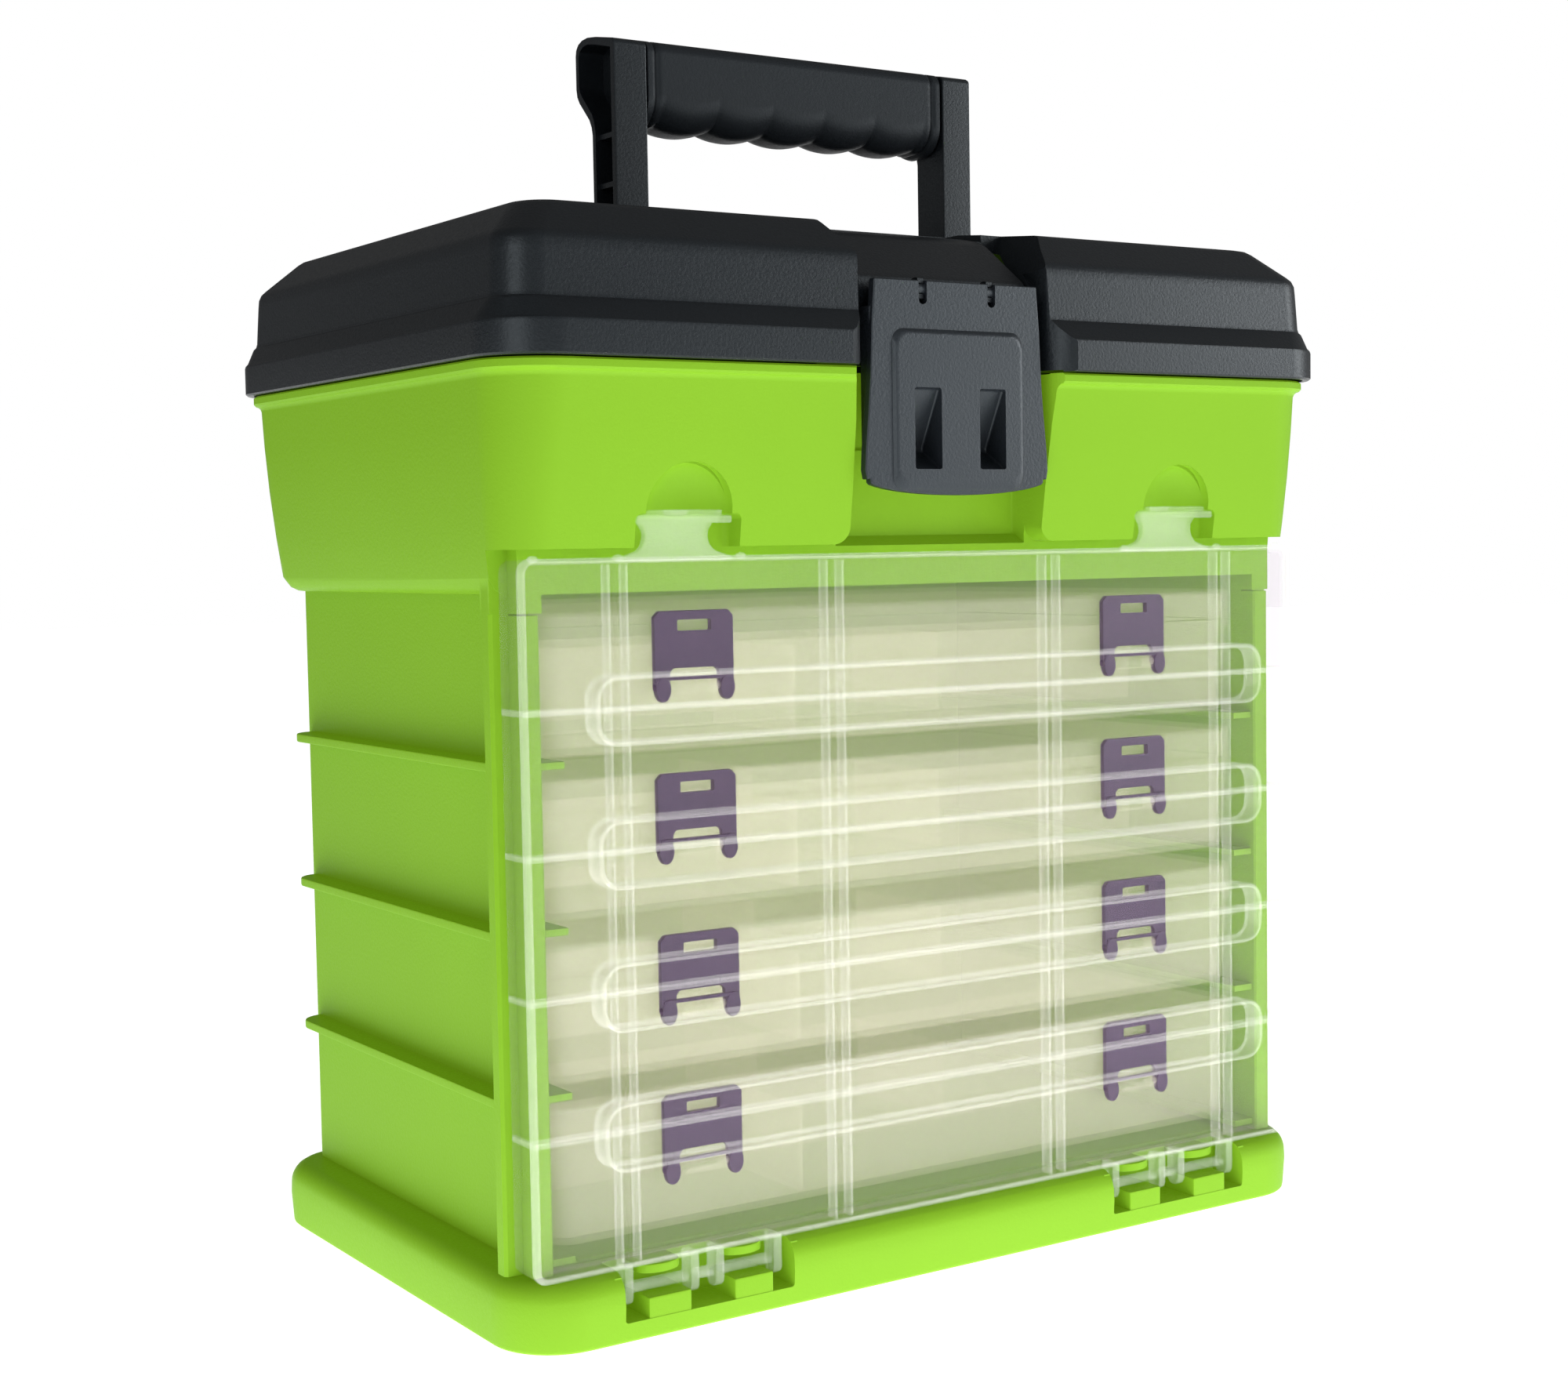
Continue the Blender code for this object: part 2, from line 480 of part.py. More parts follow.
# ---------------------------------------------------------------- door
def make_door(look):
    w = DOOR_WALL
    bm = loft([
        upright(DOOR_X - 0.8, DOOR_Z0 + 0.8, DOOR_Z1 - 0.8, 2.4, DOOR_FRONT_Y),
        upright(DOOR_X, DOOR_Z0, DOOR_Z1, 3.2, DOOR_FRONT_Y + 0.8),
        upright(DOOR_X, DOOR_Z0, DOOR_Z1, 3.2, DOOR_REAR_Y),
        upright(DOOR_X - w, DOOR_Z0 + w, DOOR_Z1 - w, 1.4, DOOR_REAR_Y),
        upright(DOOR_X - w, DOOR_Z0 + w, DOOR_Z1 - w, 1.4, DOOR_FRONT_Y + w),
    ])
    door = part("door", bm, look)
    cut(door, box((-DOOR_X + w + 0.2, DOOR_X - w - 0.2), (DOOR_FLOOR_REAR_Y, -50.0), (5.0, DOOR_Z0 + w + 0.4)),
        box((-DOOR_X + w + 0.2, DOOR_X - w - 0.2), (DOOR_ROOF_REAR_Y, -50.0), (DOOR_Z1 - w - 0.4, 210.0)))
    for upright_x in UPRIGHT_X:
        for x0, x1 in both_sides(upright_x - 2.9, upright_x + 2.9):
            join(door, box((x0, x1), (DOOR_FRONT_Y + 1.0, DOOR_FRONT_Y + 3.6), (DOOR_Z0 + 1.0, DOOR_Z1 - 1.0)))
    for z in CROSS_RIB_Z:
        join(door, box((-DOOR_X + 1.0, DOOR_X - 1.0), (DOOR_FRONT_Y + 1.2, DOOR_FRONT_Y + 3.0), (z - 0.8, z + 0.8)))
        join(door, finger_frame(z))
    add_door_tabs(door)
    add_door_hinge(door)
    set_origin(door, DOOR_AXIS_Y, DOOR_AXIS_Z)
    return door


def finger_frame(z):
    """A raised outline on the door's front with rounded ends."""
    half, wall = FRAME_H / 2, 1.5
    outer = (FRAME_X, z - half, z + half, 6.0)
    inner = (FRAME_X - wall, z - half + wall, z + half - wall, 6.0 - wall)
    return loft([upright(*outer, DOOR_FRONT_Y + 0.7), upright(*outer, FRAME_Y),
                 upright(*inner, FRAME_Y), upright(*inner, DOOR_FRONT_Y + 0.7)], closed=True)


def add_door_tabs(door):
    web_y = (-75.6, -73.4)
    for side in (1, -1):
        x = side * TAB_X
        edge = [(TAB_W - 0.6, DOOR_Z1 - 1.0), (9.6, 195.4), (8.8, 198.0), (9.6, 200.4), (11.5, 202.4)]
        outline = [(x + a, z) for a, z in edge] + [(x - a, z) for a, z in reversed(edge)]
        join(door, prism(outline, "Y", *web_y))
        lip = [(x - TAB_W, web_y[1]), (x - TAB_W, -80.0), (x - 10.0, -82.2), (x, -83.0),
               (x + 10.0, -82.2), (x + TAB_W, -80.0), (x + TAB_W, web_y[1])]
        join(door, prism(lip, "Z", 201.3, 203.6))


def add_door_hinge(door):
    """Fins below the door with rods between them, on the door's hinge axis."""
    y, z = DOOR_AXIS_Y, DOOR_AXIS_Z
    fin = [(DOOR_FRONT_Y, DOOR_Z0 + 1.0), (DOOR_FRONT_Y, 9.8), (-78.2, 8.4), (-76.6, 8.0),
           (-75.2, 8.5), (-74.3, 10.2), (-74.2, DOOR_Z0 + 1.0)]
    for centre in FIN_X:
        for x0, x1 in both_sides(centre - FIN_W / 2, centre + FIN_W / 2):
            join(door, prism(fin, "X", x0, x1))
    for x0, x1 in both_sides(FIN_X[0], FIN_X[-1]):
        join(door, rod((x0, x1), y, z, ROD_R))


# ---------------------------------------------------------------- organizers
def make_tray(name, z, look):
    w = TRAY_WALL
    bm = loft([
        plan(ORG_X - 4.5, ORG_FRONT_Y + 3.0, ORG_REAR_Y - 3.0, 4.0, z),
        plan(ORG_X - 2.0, ORG_FRONT_Y + 1.2, ORG_REAR_Y - 1.2, 5.0, z + 2.0),
        plan(ORG_X, ORG_FRONT_Y, ORG_REAR_Y, 6.0, z + TRAY_H),
        plan(ORG_X - w, ORG_FRONT_Y + w, ORG_REAR_Y - w, 5.0, z + TRAY_H),
        plan(ORG_X - w - 2.0, ORG_FRONT_Y + w + 1.2, ORG_REAR_Y - w - 1.2, 4.0, z + 2.2),
    ])
    tray = part(name, bm, look)
    for y in LONG_WALLS_Y:
        join(tray, box((-ORG_X + 1.0, ORG_X - 1.0), (y - 0.6, y + 0.6), (z + 1.2, z + TRAY_H - 1.6)))
    for side in (1, -1):
        x = side * DRAWER_LATCH_X
        join(tray, box((x - 6.0, x + 6.0), (DRAWER_PIVOT_Y, ORG_FRONT_Y + 1.6), (z + 14.6, z + 18.0)),
             rod((x - 6.2, x + 6.2), DRAWER_PIVOT_Y, z + DRAWER_PIVOT_Z, 2.0),
             rod((x - 10.4, x + 10.4), DRAWER_PIVOT_Y, z + DRAWER_PIVOT_Z, 0.8, 8))
    return tray


def make_tray_lid(name, z, look):
    w = TRAY_WALL
    low, top = z + TRAY_H + GAP, z + ORG_H
    bm = loft([
        plan(ORG_X - 1.0, ORG_FRONT_Y + 0.8, ORG_REAR_Y - 0.8, 5.0, top),
        plan(ORG_X, ORG_FRONT_Y - 0.2, ORG_REAR_Y, 6.0, top - 1.0),
        plan(ORG_X, ORG_FRONT_Y - 0.2, ORG_REAR_Y, 6.0, low),
        plan(ORG_X - w, ORG_FRONT_Y - 0.2 + w, ORG_REAR_Y - w, 5.0, low),
        plan(ORG_X - w, ORG_FRONT_Y - 0.2 + w, ORG_REAR_Y - w, 5.0, top - w),
    ])
    return part(name, bm, look)


def make_drawer_latch(name, x, z, look):
    """A plate with a window, on two legs that turn on the tray's pins."""
    w = DRAWER_LATCH_W
    outline = [(x - w, z + 17.0), (x - w, z + 34.4), (x - w + 1.2, z + 35.5),
               (x + w - 1.2, z + 35.5), (x + w, z + 34.4), (x + w, z + 17.0),
               (x + w - 4.6, z + 17.0), (x + w - 4.6, z + 20.6), (x - w + 4.6, z + 20.6), (x - w + 4.6, z + 17.0)]
    latch = part(name, prism(outline, "Y", -69.8, -68.3), look)
    for x0, x1 in ((x - w, x - w + 4.6), (x + w - 4.6, x + w)):
        join(latch, rod((x0, x1), DRAWER_PIVOT_Y, z + DRAWER_PIVOT_Z, 1.5, 12))
    cut(latch, box((x - 5.0, x + 5.0), (-75.0, -60.0), (z + 30.4, z + 33.2)),
        rod((x - 15.0, x + 15.0), DRAWER_PIVOT_Y, z + DRAWER_PIVOT_Z, 0.8 + 0.2, 8))
    return latch


def make_divider(name, row, x, z, look):
    edges = (ORG_FRONT_Y + 3.4, *LONG_WALLS_Y, ORG_REAR_Y - 3.4)
    y0 = edges[row] + (0.9 if row else 0.0)
    y1 = edges[row + 1] - (0.9 if row < len(LONG_WALLS_Y) else 0.0)
    return part(name, box((x - 0.7, x + 0.7), (y0, y1), (z + 2.5, z + TRAY_H - 2.0)), look)


def make_organizer(number, clear, smoke):
    z = ORG_Z + (number - 1) * PITCH
    name = f"organizer_{number}"
    make_tray(f"{name}_tray", z, clear)
    make_tray_lid(f"{name}_lid", z, clear)
    for label, side in (("left", -1), ("right", 1)):
        make_drawer_latch(f"{name}_{label}_latch", side * DRAWER_LATCH_X, z, smoke)
    for row, x in enumerate(DIVIDER_X):
        make_divider(f"{name}_divider_{row + 1}", row, x, z, clear)


PARTS, CUTTERS = start_scene()
green = material("green_plastic", GREEN, 0.42)
black = material("black_plastic", BLACK, 0.48)
frosted = material("frosted_plastic", FROSTED, 0.35, 0.6)
clear_plastic = material("clear_plastic", CLEAR, 0.15, 0.8)
smoke_plastic = material("smoke_plastic", SMOKE, 0.35)

make_base(green)
make_cabinet(green)
make_top_bin(green)
make_lid(black)
make_latch(black)
make_handle_frame(black)
make_grip(black)
make_door(frosted)
for organizer in range(1, ORGANIZERS + 1):
    make_organizer(organizer, clear_plastic, smoke_plastic)
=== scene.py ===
"""Looks for the fishing tackle box: detailed shells, plastics, light and camera."""

import math

import bmesh
import bpy
from mathutils import Matrix, Vector


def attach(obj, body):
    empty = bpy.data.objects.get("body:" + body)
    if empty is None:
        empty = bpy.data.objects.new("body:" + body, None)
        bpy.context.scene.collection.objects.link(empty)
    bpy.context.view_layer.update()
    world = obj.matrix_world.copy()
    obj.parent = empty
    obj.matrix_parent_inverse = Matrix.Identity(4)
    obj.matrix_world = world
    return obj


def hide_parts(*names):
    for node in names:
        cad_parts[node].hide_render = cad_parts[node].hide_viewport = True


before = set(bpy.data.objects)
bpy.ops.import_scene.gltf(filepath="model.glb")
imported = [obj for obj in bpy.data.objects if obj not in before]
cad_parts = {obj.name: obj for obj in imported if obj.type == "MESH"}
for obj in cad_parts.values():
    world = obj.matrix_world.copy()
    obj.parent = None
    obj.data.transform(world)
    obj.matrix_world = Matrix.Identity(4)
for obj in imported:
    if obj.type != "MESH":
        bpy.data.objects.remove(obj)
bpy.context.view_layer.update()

MM = 0.001
# Lengths are in millimetres, unless a comment says otherwise. +X is the box's right, -Y its front and +Z up.
GAP = 0.3  # clearance between neighbouring pieces
FAR_Y = -95.0  # well in front of the box: where cuts from the front begin

# Lid, and the recess in it and in the bin for the latch
LID_X, LID_Y, LID_Z = 135.0, 89.5, 240.9
RECESS_X, RECESS_Y = 30.5, -78.8

# Top bin
BIN_TOP_Z, BIN_FLANGE_Z, BIN_Z = 240.6, 237.8, 184.5
BIN_FRONT_Z = 195.4  # underside of its overhang above the door
BIN_RECESS_Y = -67.5
HEADER_Y = -72.4  # front of the strip between the door's top and the bin

# Base and cabinet
BASE_X, BASE_Y, BASE_R, BASE_Z = 132.0, 81.8, 18.5, 17.3
WALL_X, WALL, REAR_Y = 120.7, 2.0, 73.8
POST_X, POST_FRONT_Y, POST_REAR_Y = 129.2, -72.4, -62.0
POST_NOSE_X, POST_STEP_Y = 124.3, -66.9  # the post is narrower where the door's sides pass over it
RIB_X, RIB_REAR_Y, RIB_TOP_Z, RIB_THICK, RIB_TURN = 127.5, 69.0, (60.2, 101.8, 143.6), 2.4, 7.0

# Door and its hinge
DOOR_X, DOOR_FRONT_Y, DOOR_REAR_Y = 126.8, -79.0, -67.4
DOOR_Z0, DOOR_Z1, DOOR_WALL = 17.7, 193.0, 2.0
DOOR_FLOOR_REAR_Y, DOOR_ROOF_REAR_Y = -74.0, -72.9
DOOR_AXIS_Y, DOOR_AXIS_Z, ROD_R = -76.6, 12.2, 1.5
UPRIGHT_X, CROSS_RIB_Z = (36.3, 100.3), (156.3, 121.4, 86.5, 52.1)
FRAME_X, FRAME_H, FRAME_Y = 110.0, 17.4, -84.4
FIN_X, FIN_W = (57.5, 75.0, 82.4, 101.4), 2.6
SEAT_X, HINGE_RECESS_X = ((60.5, 72.1), (84.9, 97.2)), (54.2, 104.0)
TAB_X, TAB_W = 81.5, 13.7

# Lid hinge and lid latch
LID_AXIS_Y, LID_AXIS_Z, LID_HINGE_X, EAR_X = 86.5, 236.6, 80.0, 12.5
EAR_R = 2.9  # round the rods of the lid's hinge and of the latch
LATCH_AXIS_Y, LATCH_AXIS_Z, LATCH_ROD_R = -82.4, 261.4, 1.6
LATCH_X, LATCH_FOOT_X, LATCH_SLOT_X = 28.3, 30.2, 11.3
LATCH_Y, LATCH_Z0, LATCH_Z1 = -84.6, 207.8, 263.4

# Handle
POST_IN_X, POST_OUT_X, HANDLE_FRONT_Y = 50.8, 61.0, -12.7
HANDLE_FOOT_Z, HANDLE_TOP_Z = 274.0, 336.5
WEB_Z, WEB_THICK = (294.4, 307.8), 1.4
CORE_Y, CORE_Z = (-6.0, 3.0), (317.5, 328.5)
GRIP_X, GRIP_PITCH, GRIP_Y = 50.4, 17.8, (-12.3, 9.2)
GRIP_TOP_Z, GRIP_CUSP_Z, GRIP_SWELL = 336.0, 312.3, 1.8
GRIP_CROWN = 2.4  # how far the grip's top falls away towards its front edge
GRIP_STEPS = 150

# Organizers
ORGANIZERS, PITCH, ORG_Z = 4, 40.9, 21.3
ORG_X, ORG_FRONT_Y, ORG_REAR_Y = 116.6, -67.2, 65.0
TRAY_H, ORG_H, TRAY_WALL = 27.2, 36.2, 1.5
LONG_WALLS_Y = (-23.7, 20.0)
DRAWER_LATCH_X, DRAWER_LATCH_W = 73.6, 11.7
DRAWER_PIVOT_Y, DRAWER_PIVOT_Z, PIVOT_R = -69.4, 16.3, 0.8

# Camera, and the floor with its glow (its radius, centre and reach are in metres)
CAMERA_MM, CAMERA_TURN_PITCH_ROLL = (-379.165, -576.047, 195.443), (33.290, 3.711, 0.969)
SENSOR_MM, LENS_MM = 36.0, 53.75
FLOOR_R, FLOOR_GLOW, FLOOR_GLOW_NEAR = 6.0, 0.9, 5.0
FLOOR_GLOW_AT, FLOOR_GLOW_REACH = (0.10, -0.20, 0.0), (0.15, 0.85)
CLEAR_WALLS_DEEP = 48  # how many see-through surfaces a ray may pass


# ---------------------------------------------------------------- building aids
def box(x, y, z):
    """A block between the pairs x, y and z."""
    bm = bmesh.new()
    middle = Vector([(pair[0] + pair[1]) / 2 for pair in (x, y, z)])
    size = [abs(pair[1] - pair[0]) for pair in (x, y, z)]
    bmesh.ops.create_cube(bm, size=1.0, matrix=Matrix.Translation(middle) @ Matrix.Diagonal((*size, 1.0)))
    return bm


def rod(x, y, z, radius, sides=24):
    """A round bar along X, between the pair x."""
    bm = bmesh.new()
    matrix = Matrix.Translation(((x[0] + x[1]) / 2, y, z)) @ Matrix.Rotation(math.pi / 2, 4, "Y")
    bmesh.ops.create_cone(bm, cap_ends=True, segments=sides, radius1=radius, radius2=radius,
                          depth=abs(x[1] - x[0]), matrix=matrix)
    return bm


def ball(centre, radii):
    """A ball or an ellipsoid."""
    bm = bmesh.new()
    matrix = Matrix.Translation(centre) @ Matrix.Diagonal((*radii, 1.0))
    bmesh.ops.create_uvsphere(bm, u_segments=48, v_segments=32, radius=1.0, matrix=matrix)
    return bm


def prism(outline, axis, low, high):
    """An outline in the other two axes, drawn out along one axis."""
    place = {"X": lambda a, b, c: (c, a, b), "Y": lambda a, b, c: (a, c, b), "Z": lambda a, b, c: (a, b, c)}
    bm = bmesh.new()
    face = bm.faces.new([bm.verts.new(place[axis](a, b, low)) for a, b in outline])
    grown = bmesh.ops.extrude_face_region(bm, geom=[face])["geom"]
    raised = [item for item in grown if isinstance(item, bmesh.types.BMVert)]
    bmesh.ops.translate(bm, vec=Vector(place[axis](0.0, 0.0, high - low)), verts=raised)
    return bm


def loft(rings, closed=False):
    """A skin through rings of points. It has two end faces, or goes round to its start."""
    bm = bmesh.new()
    rows = [[bm.verts.new(point) for point in ring] for ring in rings]
    pairs = list(zip(rows, rows[1:]))
    if closed:
        pairs.append((rows[-1], rows[0]))
    for lower, upper in pairs:
        for i in range(len(lower)):
            j = (i + 1) % len(lower)
            bm.faces.new((lower[i], lower[j], upper[j], upper[i]))
    if not closed:
        bm.faces.new(rows[0])
        bm.faces.new(rows[-1])
    return bm


def rounded(a0, a1, b0, b1, radius, steps=8):
    """A rectangle's outline with round corners."""
    points = []
    centres = ((a1 - radius, b1 - radius), (a0 + radius, b1 - radius),
               (a0 + radius, b0 + radius), (a1 - radius, b0 + radius))
    for quarter, (a, b) in enumerate(centres):
        for step in range(steps + 1):
            angle = math.pi / 2 * (quarter + step / steps)
            points.append((a + radius * math.cos(angle), b + radius * math.sin(angle)))
    return points


def plan(half_x, y0, y1, radius, z, steps=10):
    """A level ring with round corners."""
    return [(a, b, z) for a, b in rounded(-half_x, half_x, y0, y1, radius, steps)]


def upright(half_x, z0, z1, radius, y, steps=6):
    """A ring with round corners that stands facing the front."""
    return [(a, y, b) for a, b in rounded(-half_x, half_x, z0, z1, radius, steps)]


def soften(bm, width, segments=2):
    """Round every edge that is sharper than 30 degrees."""
    bmesh.ops.remove_doubles(bm, verts=bm.verts, dist=0.001)
    bmesh.ops.recalc_face_normals(bm, faces=bm.faces)
    sharp = [e for e in bm.edges if e.is_manifold and e.calc_face_angle(0.0) > math.radians(30)]
    bmesh.ops.bevel(bm, geom=sharp, offset=width, offset_type="OFFSET", segments=segments,
                    profile=0.5, affect="EDGES", clamp_overlap=True)
    return bm


def solid(bm, name):
    """Turn a bmesh in millimetres into an object in metres."""
    bmesh.ops.remove_doubles(bm, verts=bm.verts, dist=0.001)
    bmesh.ops.recalc_face_normals(bm, faces=bm.faces)
    bmesh.ops.scale(bm, vec=(MM, MM, MM), verts=bm.verts)
    mesh = bpy.data.meshes.new(name)
    bm.to_mesh(mesh)
    bm.free()
    obj = bpy.data.objects.new(name, mesh)
    bpy.context.scene.collection.objects.link(obj)
    return obj


def combine(target, operation, shapes):
    """Join shapes to the target or cut them from it, by modifiers."""
    for bm in shapes:
        modifier = target.modifiers.new(operation.title(), "BOOLEAN")
        modifier.operation = operation
        modifier.solver = "EXACT"
        modifier.object = solid(bm, target.name + "_tool")


def join(target, *shapes):
    combine(target, "UNION", shapes)


def cut(target, *shapes):
    combine(target, "DIFFERENCE", shapes)


def settle(obj):
    """Keep the result of the modifiers, and remove the shapes that they used."""
    tools = [m.object for m in obj.modifiers if m.type == "BOOLEAN"]
    graph = bpy.context.evaluated_depsgraph_get()
    mesh = bpy.data.meshes.new_from_object(obj.evaluated_get(graph))
    obj.modifiers.clear()
    obj.data = mesh
    for tool in tools:
        bpy.data.objects.remove(tool)
    return obj


def dress(obj, look, body, nodes, angle=32.0):
    """Smooth shading, a material, and a place in the frame."""
    settle(obj)
    mesh = obj.data
    mesh.polygons.foreach_set("use_smooth", [True] * len(mesh.polygons))
    mesh.set_sharp_from_angle(angle=math.radians(angle))
    normals = obj.modifiers.new("Normals", "WEIGHTED_NORMAL")
    normals.keep_sharp = True
    mesh.materials.clear()
    mesh.materials.append(look)
    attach(obj, body)
    if nodes:
        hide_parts(*nodes)
    return obj


def both_sides(low, high):
    """A pair of X limits on the right, and the same pair mirrored."""
    return ((low, high), (-high, -low))


# ---------------------------------------------------------------- plastics
def plastic(name, colour, roughness, grain_mm, bump, tint=0.06, alpha=1.0, spec=0.5, rough_spread=0.06,
            glow=0.0, glow_colour=(1.0, 1.0, 1.0), gleam=(1.0, 1.0, 1.0)):
    """Moulded plastic: a fine grain in the surface, and slow changes of colour and gloss."""
    made = bpy.data.materials.new(name)
    made.use_nodes = True
    nodes, links = made.node_tree.nodes, made.node_tree.links
    shader = nodes["Principled BSDF"]
    place = nodes.new("ShaderNodeTexCoord")

    def noise(scale, detail, rough=0.5):
        node = nodes.new("ShaderNodeTexNoise")
        node.inputs["Scale"].default_value = scale
        node.inputs["Detail"].default_value = detail
        node.inputs["Roughness"].default_value = rough
        links.new(place.outputs["Object"], node.inputs["Vector"])
        return node

    slow = noise(9.0, 3.0)
    ramp = nodes.new("ShaderNodeValToRGB")
    ramp.color_ramp.elements[0].position, ramp.color_ramp.elements[1].position = 0.3, 0.7
    ramp.color_ramp.elements[0].color = (*[c * (1 - tint) for c in colour], 1.0)
    ramp.color_ramp.elements[1].color = (*[min(1.0, c * (1 + tint)) for c in colour], 1.0)
    links.new(slow.outputs["Fac"], ramp.inputs["Fac"])
    links.new(ramp.outputs["Color"], shader.inputs["Base Color"])
    fine = noise(1000.0 / grain_mm, 3.0, 0.6)
    gloss = nodes.new("ShaderNodeMapRange")
    gloss.inputs["From Min"].default_value, gloss.inputs["From Max"].default_value = 0.3, 0.7
    gloss.inputs["To Min"].default_value = roughness - rough_spread
    gloss.inputs["To Max"].default_value = roughness + rough_spread
    links.new(fine.outputs["Fac"], gloss.inputs["Value"])
    links.new(gloss.outputs["Result"], shader.inputs["Roughness"])
    raise_it = nodes.new("ShaderNodeBump")
    raise_it.inputs["Strength"].default_value = bump
    raise_it.inputs["Distance"].default_value = grain_mm * MM * 0.25
    links.new(fine.outputs["Fac"], raise_it.inputs["Height"])
    links.new(raise_it.outputs["Normal"], shader.inputs["Normal"])
    shader.inputs["Metallic"].default_value = 0.0
    shader.inputs["Alpha"].default_value = alpha
    shader.inputs["Specular IOR Level"].default_value = spec
    # the glow is painted light: the surface shines by itself, though it is no lamp
    shader.inputs["Emission Color"].default_value = (*glow_colour, 1.0)
    shader.inputs["Emission Strength"].default_value = glow
    shader.inputs["Specular Tint"].default_value = (*gleam, 1.0)
    return made


# The green and see-through plastics glow a little: a painted glow that stands in for the light real plastic scatters
# inside itself, and that lifts their shade.
# painted glow on the green: it shines by itself, so its shaded parts and the cabinet's inside look lighter
GREEN = plastic("green_plastic", (0.105, 0.222, 0.012), 0.44, 0.9, 0.30, 0.03, spec=0.05, glow=0.18,
                glow_colour=(0.36, 0.72, 0.01))
COOL = (0.84, 0.94, 1.0)  # the black plastics' highlights are a little blue
BLACK = plastic("black_plastic", (0.0045, 0.0058, 0.0074), 0.36, 0.8, 0.40, 0.15, spec=0.47, gleam=COOL)
LATCH = plastic("latch_plastic", (0.0100, 0.0125, 0.0160), 0.38, 0.8, 0.45, 0.15, spec=0.60, gleam=COOL)
GRIP = plastic("grip_plastic", (0.0100, 0.0120, 0.0145), 0.46, 0.7, 0.35, 0.15, spec=0.28, gleam=COOL)
FROSTED = plastic("frosted_plastic", (0.58, 0.37, 0.60), 0.30, 1.0, 0.02, 0.02, alpha=0.05, spec=0.25)
# painted glow on the milky and clear plastics: it brightens the cabinet's inside as seen through the door
MILKY = plastic("milky_plastic", (0.95, 0.95, 0.92), 0.26, 1.0, 0.02, 0.02, alpha=0.10, glow=0.04)
CLEAR = plastic("clear_plastic", (0.68, 0.67, 0.54), 0.25, 1.0, 0.02, 0.02, alpha=0.10, glow=0.25,
                glow_colour=(1.0, 0.94, 0.62))
SMOKE = plastic("smoke_plastic", (0.012, 0.010, 0.026), 0.36, 0.8, 0.15, 0.10)


# ---------------------------------------------------------------- base
def build_base():
    inner = 2.6
    rings = [plan(BASE_X - inner, -BASE_Y + inner, BASE_Y - inner, BASE_R - inner, BASE_Z - inner),
             plan(BASE_X - inner, -BASE_Y + inner, BASE_Y - inner, BASE_R - inner, 0.0)]
    profile = ((1.2, 0.0), (0.7, 0.5), (0.55, 1.2), (0.0, 9.0), (0.15, 12.4), (0.5, 13.8), (1.2, 15.1),
               (2.2, 16.2), (3.6, 17.0), (5.4, BASE_Z))
    for inset, z in profile:
        rings.append(plan(BASE_X - inset, -BASE_Y + inset, BASE_Y - inset, BASE_R - inset, z))
    base = solid(loft(rings), "base_tray")
    low, high = HINGE_RECESS_X
    for x0, x1 in both_sides(low, high):
        join(base, box((x0 - 2, x1 + 2), (-79.9, -66.8), (3.0, BASE_Z - 1.0)))
        cut(base, soften(box((x0, x1), (FAR_Y, -69.0), (5.0, 30.0)), 0.7))
    for s0, s1 in SEAT_X:
        for x0, x1 in both_sides(s0, s1):
            join(base, soften(box((x0, x1), (-81.4, -68.0), (4.0, DOOR_AXIS_Z - ROD_R - 0.5)), 0.5))
            middle, half = (x0 + x1) / 2, (x1 - x0) / 2
            curve = [(middle + half * math.cos(a), -74.6 - 3.8 * math.sin(a))
                     for a in [math.pi * i / 16 for i in range(17)]]
            join(base, soften(prism(curve + [(x0, -68.0), (x1, -68.0)], "Z", 14.9, BASE_Z - 0.1), 0.4))
    # The raised floor under the bottom organizer.
    join(base, soften(box((-110.0, 110.0), (-66.0, 62.0), (BASE_Z - 1.0, 18.3)), 0.6))
    dress(base, GREEN, "box", ["base"])


